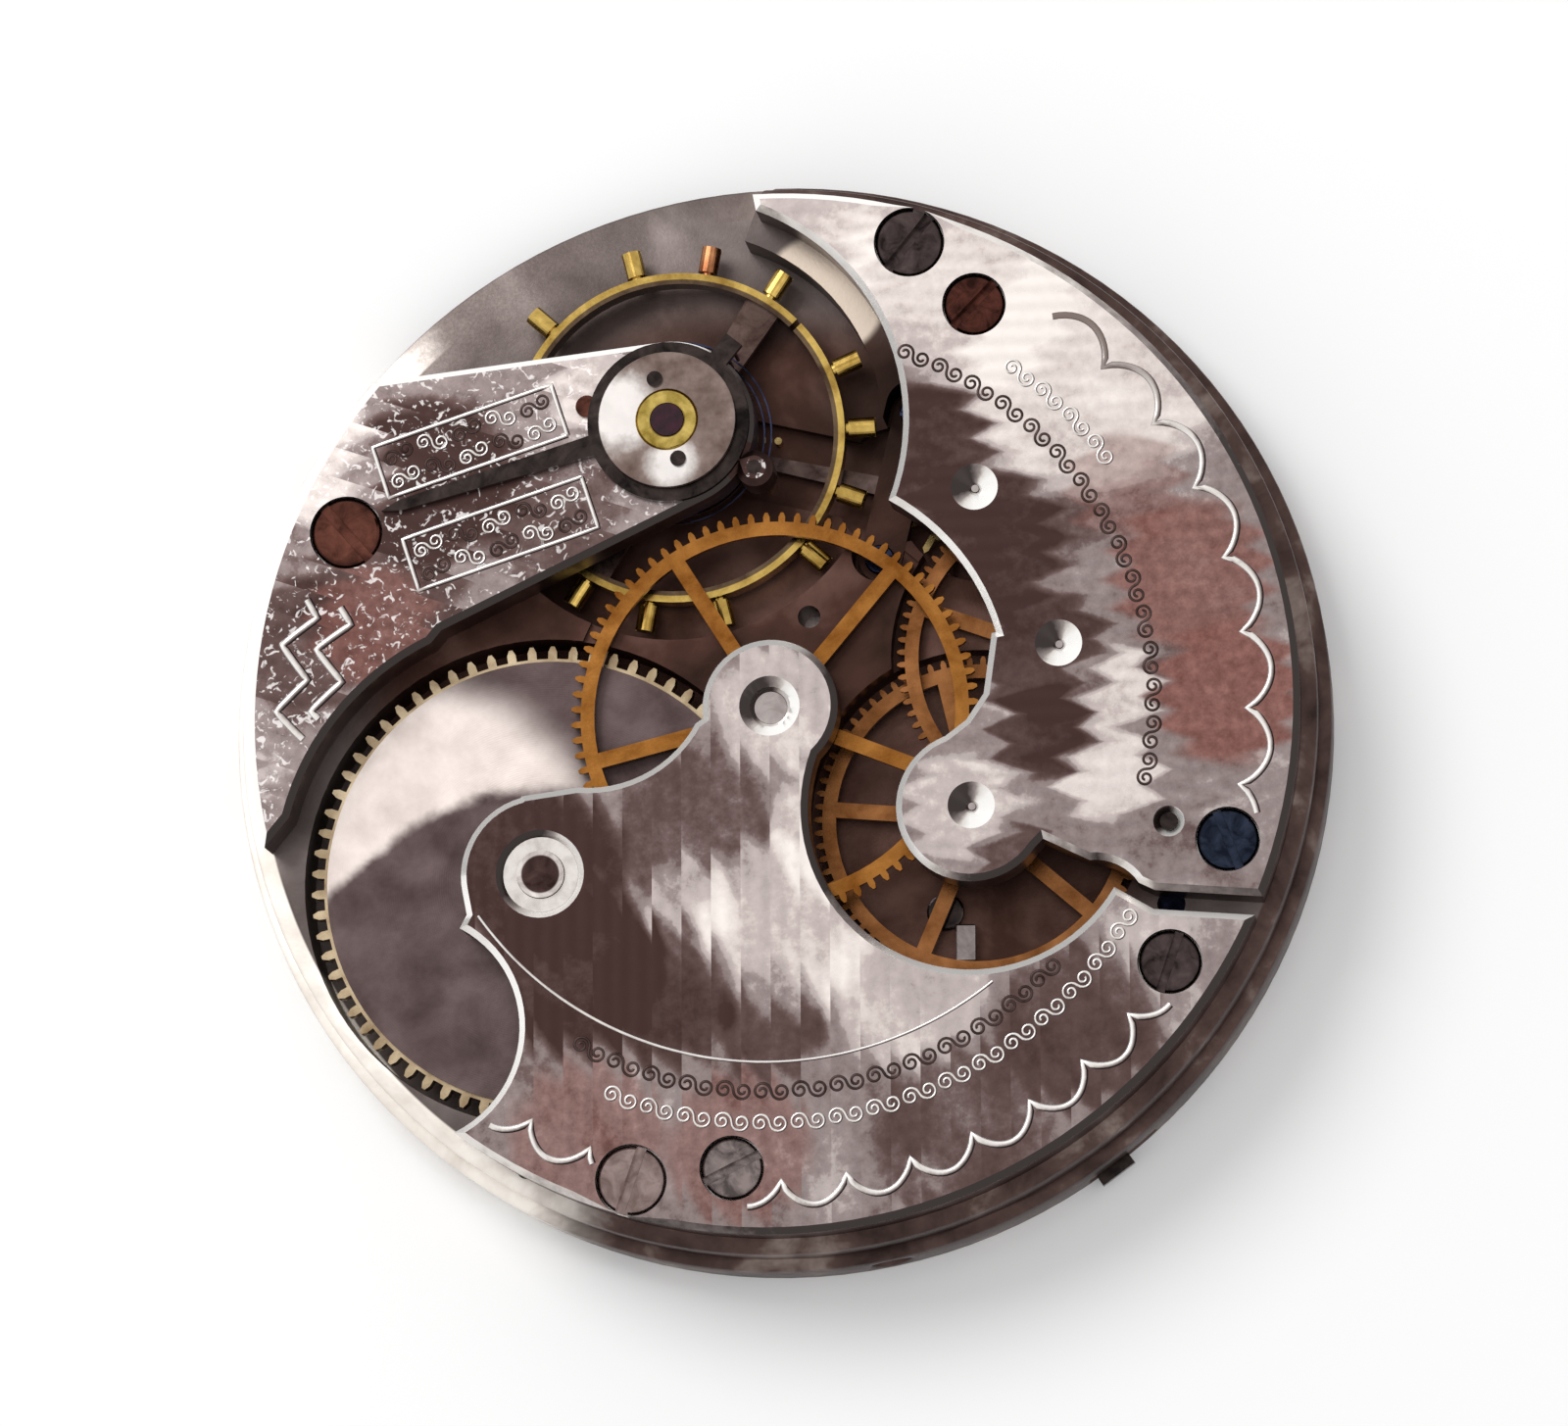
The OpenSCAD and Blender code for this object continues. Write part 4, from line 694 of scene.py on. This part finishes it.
def damaskeen(name, reflection_patches, blush, ruling, toothing="FRACT", pitch=0.85, glint=0.0):
    """Bridge top: painted reflection, bright and dark in patches whose edges are saw toothed across the
    ruling, with reddish tarnish in blush patches; each patch has its place, its reach and its weight."""
    finish, tree, shader = new_finish(name, 0.97, 0.26)
    spot = place_mm(tree)
    c, s = polar(1.0, ruling)
    along = plus(tree, times(tree, spot.x, c), times(tree, spot.y, s))
    saw = calc(tree, toothing, times(tree, along, pitch), 1.0)
    tooth = spread(tree, saw, 1.1, -0.55)
    toothed_x = plus(tree, spot.x, times(tree, tooth, -s))
    toothed_y = plus(tree, spot.y, times(tree, tooth, c))
    toothed = add_node(tree, "ShaderNodeCombineXYZ", (("X", toothed_x), ("Y", toothed_y)))
    cloud = mottle(tree, toothed.outputs[0], 0.3, 2.0, 0.5, 0.3)
    fine = mottle(tree, spot.point, 2.2, 5.0, 0.7)
    tone = plus(tree, spread(tree, cloud, 0.55, 0.18), spread(tree, fine, 0.34, -0.17))
    # painted reflections: each patch brightens or darkens the tone
    for *at, reach, weight in reflection_patches:
        share = band(tree, patch(tree, toothed_x, toothed_y, at, reach), 0.15, 0.55)
        tone = plus(tree, tone, times(tree, share, weight))
    colour = shades(tree, tone, (0.05, (0.054, 0.029, 0.026)), (0.28, (0.106, 0.067, 0.062)),
                    (0.36, (0.15, 0.104, 0.099)), (0.41, (0.22, 0.172, 0.165)), (0.52, (0.29, 0.235, 0.227)),
                    (0.57, (0.42, 0.36, 0.345)), (0.7, (0.5, 0.43, 0.41)), (0.76, (0.62, 0.545, 0.515)),
                    (1.0, (0.8, 0.73, 0.69)))
    tint = shades(tree, fine, (0.3, (0.15, 0.06, 0.05)), (0.7, (0.27, 0.125, 0.106)))
    for *at, reach, weight in blush:
        share = band(tree, patch(tree, toothed_x, toothed_y, at, reach), 0.2, 0.6)
        colour = blend_colour(tree, times(tree, share, weight), colour, tint)
    # painted glints: small near-white flecks scattered over the top
    if glint:
        painted_glints = band(tree, mottle(tree, spot.point, 2.4, 2.0, 0.6, 1.2), 0.58, 0.66)
        colour = blend_colour(tree, times(tree, painted_glints, glint), colour, (0.86, 0.82, 0.8))
    rule = calc(tree, "SINE", times(tree, along, 9.0))
    coat(tree, shader, colour, fine, 0.12, spread(tree, rule, 0.03, 0.24))
    relief(tree, shader, rule, 1e-6, 0.8)
    return finish


def outline_edges(edge):
    """Whether an edge of a bridge's top belongs to its outline, not to a screw hole."""
    for v in edge.verts:
        if abs(v.co.z - BRIDGE_TOP) > TOP_WITHIN:
            return False
        for x, y, reach in SCREW_HOLES:
            if (v.co.xy - Vector((x, y)) * mm).length < reach * mm:
                return False
    return True


# the walls' dark brown is tarnish together with painted shade
shaded_dark_wall = wall_nickel("tarnished_and_shaded_wall")
bright_edge = edge_nickel("polished_bevel_painted_light")
barrel_top = damaskeen(
    "damaskeened_barrel_bridge",
    ((-10.3, -4.6, 5.0, -0.4), (-9.4, -8.8, 4.5, -0.42), (-6.2, -10.4, 4.0, -0.3), (-4.0, -4.0, 4.4, -0.12),
     (-1.0, -8.6, 5.0, 0.28), (-4.6, -7.2, 2.6, 0.2), (1.6, -5.4, 3.6, 0.3), (3.2, -12.0, 4.5, 0.22),
     (0.4, 0.0, 3.6, 0.22), (13.7, -13.4, 4.5, 0.12), (9.4, -15.0, 4.5, -0.22), (4.2, -18.6, 5.0, -0.16),
     (-2.4, -12.4, 3.0, -0.22)),
    ((-10.4, -15.5, 4.6, 0.6), (-4.6, -17.0, 4.2, 0.6)), -11)
train_top = damaskeen(
    "damaskeened_train_bridge",
    ((15.3, 10.6, 7.0, 0.36), (11.0, 15.5, 6.5, 0.3), (5.0, 18.6, 4.5, 0.25), (9.5, 4.6, 4.4, -0.4),
     (8.0, 9.0, 3.6, -0.35), (11.0, -0.4, 3.6, -0.35), (10.4, -3.4, 2.6, -0.35), (13.4, -2.2, 2.4, 0.3),
     (12.6, -5.6, 2.6, 0.32), (6.6, -5.6, 3.0, 0.24), (8.2, -8.0, 2.0, -0.25), (12.8, 4.4, 2.0, -0.1)),
    ((17.4, 1.6, 4.4, 0.85), (17.9, -3.4, 4.2, 0.95), (15.6, 5.6, 3.2, 0.5)), 79, "PINGPONG", 1.7)
cock_top = damaskeen(
    "damaskeened_cock",
    ((-17.9, 6.4, 4.0, -0.2), (-15.4, 13.4, 3.5, 0.35), (-7.0, 9.3, 4.0, -0.16), (-11.6, 11.9, 4.8, -0.4),
     (-4.5, 14.3, 2.5, 0.3), (-14.4, 7.4, 4.5, -0.22), (1.3, 9.6, 2.6, -0.6)),
    ((-14.9, 6.6, 3.6, 0.55),), 60, glint=0.6)
bridges = {}
for node, name, top in (("barrel_bridge", "barrel_bridge_plate", barrel_top),
                        ("train_bridge", "train_bridge_plate", train_top),
                        ("balance_cock", "balance_cock_plate", cock_top)):
    bridge = edged_copy(node, name, (top, bright_edge, shaded_dark_wall), outline_edges, BRIDGE_BEVEL,
                        sunk_below=SINK_FLOOR)
    # painted shade: the sunk floor round the hairspring stud takes the dark wall finish
    for face in bridge.data.polygons:
        if (face.center.xy - Vector(STUD_LUG) * mm).length < LUG_REACH and face.center.z < SINK_FLOOR:
            face.material_index = WALL_FINISH
    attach(bridge, "frame")
    bridges[node] = bridge

# Engraved ornament: short S scrolls cut by hand along the borders of the bridges and beside the regulator,
# scalloped borders outside them, zigzags and two frames on the cock. All are thin tool marks in the tops.
SCROLL_LINE = 0.055 * mm
FLATTENED = (1.0, 1.0, 0.35)
FLAT_WITHIN = 0.02 * mm
LINE_CLEAR = 0.3
SHORTEST_RUN = 10
COCK_ARM = 187
PANEL_START = 4.9
PANEL_STEP = 1.45
SCROLL_TILT = 0.3
ZIGZAG_LEG = 180 / 46
LEG_POINTS = 8
LOBE_POINTS = 16
LOBE_FULLNESS = 0.7
SIDE_POINTS = 16
engraved = steel("engraved_line", (0.02, 0.012, 0.01), (0.075, 0.05, 0.046), 0.4)


def burr(tree, path, line, *changes):
    """A low burr of a line's width along a path."""
    section = add_node(tree, "GeometryNodeCurvePrimitiveCircle", (("Resolution", 6), ("Radius", line)),
                       mode="RADIUS")
    swept = add_node(tree, "GeometryNodeCurveToMesh",
                     (("Curve", path), ("Profile Curve", section.outputs[0]), ("Fill Caps", True)))
    return moved(tree, swept.outputs[0], ("Scale", FLATTENED), *changes)


def scroll_tree(name, finish):
    """Two spirals joined end to end into an S, so that a row of them runs on as one scroll."""
    tree, start = new_tree(name, ("Size", "Line"))
    size = start.outputs["Size"]
    half = add_node(tree, "GeometryNodeCurveSpiral", (("Resolution", 18), ("Rotations", 1.5),
                    ("Start Radius", times(tree, size, 0.2)), ("End Radius", size), ("Height", 0.0)))
    first = moved(tree, half.outputs[0], ("Translation", along_x(tree, size)))
    back = moved(tree, half.outputs[0], ("Rotation", (0.0, 0.0, math.pi)),
                 ("Translation", along_x(tree, times(tree, size, -1.0))))
    wire = add_node(tree, "GeometryNodeCurveToMesh", (("Curve", joined(tree, first, back)),))
    whole = add_node(tree, "GeometryNodeMergeByDistance",
                     (("Geometry", wire.outputs[0]), ("Distance", times(tree, size, 0.02))))
    path = add_node(tree, "GeometryNodeMeshToCurve", (("Mesh", whole.outputs[0]),))
    grow_from(tree, start, burr(tree, path.outputs[0], start.outputs["Line"]), finish)
    return tree


def line_tree(name, finish):
    """A burr along every edge of the points, at the height of the bridges' tops."""
    tree, start = new_tree(name, ("Line",))
    path = add_node(tree, "GeometryNodeMeshToCurve", (("Mesh", start.outputs["Geometry"]),))
    height = ("Translation", (0.0, 0.0, BRIDGE_TOP))
    end_tree(tree, burr(tree, path.outputs[0], start.outputs["Line"], height), finish)
    return tree


tops = {}
for node, bridge in bridges.items():
    tops[node] = BVHTree.FromPolygons([v.co for v in bridge.data.vertices],
                                      [p.vertices for p in bridge.data.polygons])


def on_top(node, x, y, clear):
    """Whether a place lies on a bridge's flat top, clear of its bevels and holes; all in millimetres."""
    for dx, dy in ((0, 0), (clear, 0), (-clear, 0), (0, clear), (0, -clear)):
        above = Vector(((x + dx) * mm, (y + dy) * mm, BRIDGE_TOP + mm))
        hit = tops[node].ray_cast(above, Vector((0, 0, -1)))[0]
        if hit is None or abs(hit.z - BRIDGE_TOP) > FLAT_WITHIN:
            return False
    return True


def on_arm(along, aside):
    """A place on the cock, laid out from the balance's axis along the cock's arm."""
    c, s = polar(1.0, COCK_ARM)
    return BALANCE[0] + along * c - aside * s, BALANCE[1] + along * s + aside * c


def ring_places(radius, first, last, step):
    """Places on a circle round the centre, their x axis along it."""
    places = []
    turn = first
    while turn <= last:
        x, y = polar(radius, turn)
        places.append((x * mm, y * mm, BRIDGE_TOP, math.radians(turn) + math.pi / 2))
        turn += step
    return places


panel = []
for aside in (1.5, 2.5, -1.5, -2.5):
    for k in range(5):
        x, y = on_arm(PANEL_START + PANEL_STEP * k, aside)
        panel.append((x * mm, y * mm, BRIDGE_TOP, math.radians(COCK_ARM) + SCROLL_TILT * (-1) ** k))
scrolls = scroll_tree("scroll", engraved)
pale_scrolls = scroll_tree("pale_scroll", bright_edge)
for name, node, places, tree, size in (
        ("barrel_bridge_scrolls", "barrel_bridge", ring_places(15.35, 231, 312, 5.6), scrolls, 0.37),
        ("barrel_bridge_loops", "barrel_bridge", ring_places(16.6, 238, 316, 5.2), pale_scrolls, 0.37),
        ("train_bridge_scrolls", "train_bridge", ring_places(15.2, -22, 58, 5.6), scrolls, 0.36),
        ("train_bridge_loops", "train_bridge", ring_places(16.6, 26, 46, 5.2), pale_scrolls, 0.37),
        ("cock_scrolls", "balance_cock", panel[1::2], scrolls, 0.34),
        ("cock_pale_scrolls", "balance_cock", panel[::2], pale_scrolls, 0.34)):
    places = [place for place in places if on_top(node, place[0] / mm, place[1] / mm, 1.3 * size)]
    ornament = grown(name, places, tree, {"Size": size * mm, "Line": SCROLL_LINE})
    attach(ornament, "frame")


def runs_on(node, points):
    """The stretches of a line that lie on the bridge's top."""
    runs = [[]]
    for x, y in points:
        if on_top(node, x, y, LINE_CLEAR):
            runs[-1].append((x, y))
        elif runs[-1]:
            runs.append([])
    return [run for run in runs if len(run) > SHORTEST_RUN]


def zigzag(radius, swell, first, last):
    """Points of a zigzag round the centre."""
    points = []
    for k in range(int(LEG_POINTS * first / ZIGZAG_LEG), int(LEG_POINTS * last / ZIGZAG_LEG) + 1):
        rise = abs((k / LEG_POINTS + 1) % 2 - 1)
        points.append(polar(radius + swell * rise, k * ZIGZAG_LEG / LEG_POINTS))
    return points


def scallops(radius, swell, pitch, first, last):
    """Points of a scalloped border, lobes to the rim and cusps to the centre."""
    points = []
    for k in range(int(LOBE_POINTS * (last - first) / pitch) + 1):
        out = radius + swell * abs(math.sin(math.pi * k / LOBE_POINTS)) ** LOBE_FULLNESS
        points.append(polar(out, first + pitch * k / LOBE_POINTS))
    return points


def arc(radius, first, last):
    """Points of an arc round the centre, one a degree."""
    return [polar(radius, bearing) for bearing in range(first, last + 1)]


def frame_lines(near, far, low, high):
    """Points round a rectangle on the cock's arm."""
    corners = ((near, low), (far, low), (far, high), (near, high), (near, low))
    points = []
    for (a, b), (next_a, next_b) in zip(corners, corners[1:]):
        for k in range(SIDE_POINTS):
            share = k / SIDE_POINTS
            points.append(on_arm(a + (next_a - a) * share, b + (next_b - b) * share))
    return points + points[:1]


tool_mark = line_tree("tool_mark", bright_edge)
dull_mark = line_tree("dull_tool_mark", edge_nickel("worn_border", (12.5, 14.5, 11.0)))
for name, node, lines, half, tree in (
        ("barrel_bridge_border", "barrel_bridge", (scallops(18.9, 1.0, 7.83, 221, 330),), 0.14, tool_mark),
        ("barrel_bridge_arc", "barrel_bridge", (arc(14.2, 190, 330),), 0.06, tool_mark),
        ("train_bridge_border", "train_bridge", (scallops(18.9, 1.0, 9.3, -40.6, 43),), 0.14, dull_mark),
        ("cock_zigzags", "balance_cock",
         (zigzag(17.2, 1.2, 155, 200), zigzag(18.6, 1.2, 155, 200)), 0.16, tool_mark),
        ("cock_frames", "balance_cock",
         (frame_lines(4.0, 11.6, 0.9, 3.1), frame_lines(4.0, 11.6, -0.9, -3.1)), 0.1, tool_mark)):
    places, edges = [], []
    for line in lines:
        for run in runs_on(node, line):
            edges += [(len(places) + k, len(places) + k + 1) for k in range(len(run) - 1)]
            places += [(x * mm, y * mm, 0.0, 0.0) for x, y in run]
    ornament = grown(name, places, tree, {"Line": half * mm}, edges)
    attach(ornament, "frame")

# Screws: dark tempered bridge screws, a cock screw tempered brown, and two case screws, all slotted and sunk
# in counterbores; a pin in the cock, a screw head and a flat bar on the plate stand beside them.
EDGE_BREAK = 0.05 * mm
BAR_BREAK = 0.06 * mm
PIN_SIDES = 32
PIN_BREAK = 0.12
PLATE_FLOOR = 2.05 * mm
brown_steel = steel("brown_tempered_steel", (0.03, 0.012, 0.009), (0.14, 0.05, 0.035), 0.22)
black_steel = steel("black_polished_steel", (0.01, 0.008, 0.008), (0.06, 0.045, 0.04), 0.2)
bar_steel = steel("stop_bar_steel", (0.14, 0.11, 0.105), (0.3, 0.26, 0.25))


def screw_steel(name, tints):
    """Screw steel whose temper colour differs from screw to screw; each tint has its screw's place."""
    finish, tree, shader = new_finish(name, 1.0, 0.2)
    spot = place_mm(tree)
    swirl = mottle(tree, spot.point, 1.4, 4.0, 0.6, 0.8)
    colour = shades(tree, swirl, (0.3, (0.016, 0.011, 0.011)), (0.7, (0.085, 0.062, 0.06)))
    for at, dark, light in tints:
        here = band(tree, patch(tree, spot.x, spot.y, at, 3.2), 0.2, 0.3)
        colour = blend_colour(tree, here, colour, shades(tree, swirl, (0.35, dark), (0.65, light)))
    fine = mottle(tree, spot.point, 12.0, 2.0, 0.6)
    coat(tree, shader, colour, fine, 0.2, 0.12)
    relief(tree, shader, fine, 3e-6, 0.4)
    return finish


def every_edge(edge):
    """Any sharp edge will do."""
    return True


def crisp_copy(node, name, finish, width):
    """A copy of a small CAD node with all its sharp edges just broken, so that they catch the light."""
    piece = edged_copy(node, name, [finish] * 3, every_edge, width, clamp=True)
    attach(piece, "frame")


screw_finish = screw_steel("tempered_screws", (((-5.1, -17.7), (0.08, 0.065, 0.063), (0.26, 0.21, 0.2)),
                                               ((11.2, 14.2), (0.02, 0.008, 0.006), (0.09, 0.03, 0.022)),
                                               ((16.6, -9.1), (0.008, 0.01, 0.018), (0.03, 0.038, 0.062))))
case_finish = screw_steel("case_screw_steel", (((-9.0, -17.3), (0.16, 0.11, 0.1), (0.3, 0.225, 0.21)),))
crisp_copy("bridge_screws", "bridge_screws_tempered", screw_finish, EDGE_BREAK)
crisp_copy("case_screws", "case_screws_polished", case_finish, EDGE_BREAK)
crisp_copy("cock_screw", "cock_screw_tempered", brown_steel, EDGE_BREAK)
dress(black_steel, "steady_pins")


def turned_pin(name, at, low, high, radius, finish):
    """A plain round head with a broken upper edge, standing on the frame."""
    shape = bmesh.new()
    bmesh.ops.create_cone(shape, cap_ends=True, segments=PIN_SIDES, radius1=radius, radius2=radius,
                          depth=high - low)
    bmesh.ops.translate(shape, verts=shape.verts, vec=(at[0], at[1], (low + high) / 2))
    top = [e for e in shape.edges if all(v.co.z > high - SLIVER for v in e.verts)]
    bevel(shape, top, PIN_BREAK * radius, 2)
    piece = from_shape(name, shape, finish)
    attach(piece, "frame")


def plate_bar(name, at, bearing, length, width, low, high, finish):
    """A flat bar with broken edges, lying on the plate at a bearing."""
    shape = bmesh.new()
    bmesh.ops.create_cube(shape, size=1.0)
    bmesh.ops.scale(shape, verts=shape.verts, vec=(length, width, high - low))
    bevel(shape, shape.edges[:], BAR_BREAK, 2)
    turn = Matrix.Rotation(math.radians(bearing), 3, "Z")
    bmesh.ops.rotate(shape, verts=shape.verts, cent=(0, 0, 0), matrix=turn)
    bmesh.ops.translate(shape, verts=shape.verts, vec=(at[0], at[1], (low + high) / 2))
    piece = from_shape(name, shape, finish)
    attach(piece, "frame")


turned_pin("cock_pin", (-4.8 * mm, 13.5 * mm), BRIDGE_TOP - 0.1 * mm, BRIDGE_TOP + 0.2 * mm, 0.45 * mm,
           brown_steel)
turned_pin("plate_screw_head", (4.95 * mm, -8.9 * mm), PLATE_FLOOR, 2.42 * mm, 0.75 * mm, black_steel)
plate_bar("plate_stop_bar", (5.5 * mm, -10.3 * mm), 78.7, 1.5 * mm, 0.8 * mm, PLATE_FLOOR, 2.5 * mm,
          bar_steel)

# Balance bearing: a polished cap on the cock holds the upper endstone in a gold setting with two small
# screws; under it lies the regulator, a dark steel ring with a long pointer and two curb pins.
CAP_BREAK = 0.08 * mm


def cap_polish(name):
    """Cap over the endstone: flat polished nickel, warm grey, with painted highlights towards the upper left
    and below.
    """
    finish, tree, shader = new_finish(name, 1.0, 0.22)
    spot = place_mm(tree)
    wear = mottle(tree, spot.point, 0.9, 4.0, 0.6)
    # painted highlights: two bright patches on the cap
    bright = calc(tree, "MAXIMUM", patch(tree, spot.x, spot.y, (-3.4, 12.9), 2.4),
                  patch(tree, spot.x, spot.y, (-1.9, 10.2), 1.5))
    tone = plus(tree, times(tree, wear, 0.6), times(tree, bright, 0.5))
    colour = shades(tree, tone, (0.2, (0.12, 0.08, 0.065)), (0.4, (0.24, 0.18, 0.16)),
                    (0.75, (0.8, 0.75, 0.72)))
    coat(tree, shader, colour, wear, 0.2, 0.12)
    return finish


cap_nickel = cap_polish("polished_cap")
setting_gold = brass("setting_gold", (0.24, 0.16, 0.025), (0.62, 0.46, 0.13), 1.4, 0.18)
crisp_copy("endstone_cap", "endstone_cap_polished", cap_nickel, CAP_BREAK)
crisp_copy("endstone_setting", "endstone_setting_gold", setting_gold, CAP_BREAK)
dress(black_steel, "regulator", "endstone_screws", "hairspring_stud")
dress(stone_red, "upper_endstone", "upper_hole_jewel", "lower_hole_jewel", "lower_endstone")
dress(bright_steel, "lower_endstone_plate")

# Dial side: winding wheels, click and setting lever of steel, motion work of brass, all in the recess under
# the plate.
motion_brass = brass("motion_work_brass", (0.38, 0.25, 0.09), (0.68, 0.5, 0.22), 0.8, 0.28)
dress(bright_steel, "ratchet_wheel", "crown_wheel", "click", "click_spring", "clutch_sleeve",
      "minute_wheel_post")
dress(blue_steel, "ratchet_screw", "crown_wheel_screw", "dial_side_screws", "dial_foot_screws")
dress(motion_brass, "minute_wheel", "hour_wheel", "winding_pinion")
dress(black_steel, "setting_lever")

# Stage: a pale floor, a soft key from the upper left and a wide fill, and a long lens that looks down on
# the bridges, tipped a little towards the lower right. The sky lights less than it shows.
FLOOR_REACH = 2.0
SKY_LIGHT = 0.66
SKY_SHOWN = 1.0
TILT = math.radians(12.0)
LEAN = math.radians(-69.0)
TURN = 11.3
DISTANCE = 0.26
PIXEL = 0.0388 * mm
PHOTO_WIDTH = 1600 * PIXEL
AIM_RIGHT = 15 * PIXEL
AIM_DOWN = 7.5 * PIXEL
SENSOR = 36
floor_mesh = bpy.data.meshes.new("floor")
corners = [(x * FLOOR_REACH, y * FLOOR_REACH, 0) for x, y in ((-1, -1), (1, -1), (1, 1), (-1, 1))]
floor_mesh.from_pydata(corners, [], [(0, 1, 2, 3)])
floor = placed("floor", floor_mesh)
floor_white, _, floor_shader = new_finish("floor_white", 0.0, 0.9)
floor_shader.inputs["Base Color"].default_value = (0.98, 0.98, 0.98, 1.0)
floor_shader.inputs["Specular IOR Level"].default_value = 0.0
floor_mesh.materials.append(floor_white)

world = bpy.data.worlds.new("studio")
bpy.context.scene.world = world
world.use_nodes = True
sky = world.node_tree
backdrop = sky.nodes["Background"]
backdrop.inputs["Color"].default_value = (1.0, 1.0, 1.0, 1.0)
ray = add_node(sky, "ShaderNodeLightPath").outputs
mirrored = calc(sky, "MAXIMUM", ray["Is Glossy Ray"], ray["Is Transmission Ray"])
seen = calc(sky, "MAXIMUM", ray["Is Camera Ray"], mirrored)
sky.links.new(spread(sky, seen, SKY_SHOWN - SKY_LIGHT, SKY_LIGHT), backdrop.inputs["Strength"])


def soft_lamp(name, bearing, elevation, away, size, power):
    """A round lamp at a bearing and an elevation, aimed at the origin."""
    lamp = bpy.data.lights.new(name, "AREA")
    lamp.shape = "DISK"
    lamp.size = size
    lamp.energy = power
    stand = placed(name, lamp)
    b, e = math.radians(bearing), math.radians(elevation)
    towards = Vector((math.cos(b) * math.cos(e), math.sin(b) * math.cos(e), math.sin(e)))
    stand.location = towards * away
    stand.rotation_mode = "QUATERNION"
    stand.rotation_quaternion = towards.to_track_quat("Z", "Y")


soft_lamp("key", 124, 48, 0.5, 0.26, 1.12)
soft_lamp("fill", -40, 60, 0.6, 0.5, 0.33)

lens = bpy.data.cameras.new("camera")
camera = placed("camera", lens)
back = Vector((math.sin(TILT) * math.cos(LEAN), math.sin(TILT) * math.sin(LEAN), math.cos(TILT)))
up_hint = Vector((*polar(1.0, 90 - TURN), 0))
right = up_hint.cross(back).normalized()
up = back.cross(right).normalized()
target = Vector((0, 0, BRIDGE_TOP)) + right * AIM_RIGHT - up * AIM_DOWN
camera.location = target + back * DISTANCE
camera.rotation_mode = "QUATERNION"
camera.rotation_quaternion = Matrix((right, up, back)).transposed().to_quaternion()
lens.sensor_width = SENSOR
lens.lens = SENSOR * DISTANCE / PHOTO_WIDTH
lens.clip_start = 0.01
lens.clip_end = 10
bpy.context.scene.camera = camera
bpy.context.scene.view_settings.view_transform = "Standard"
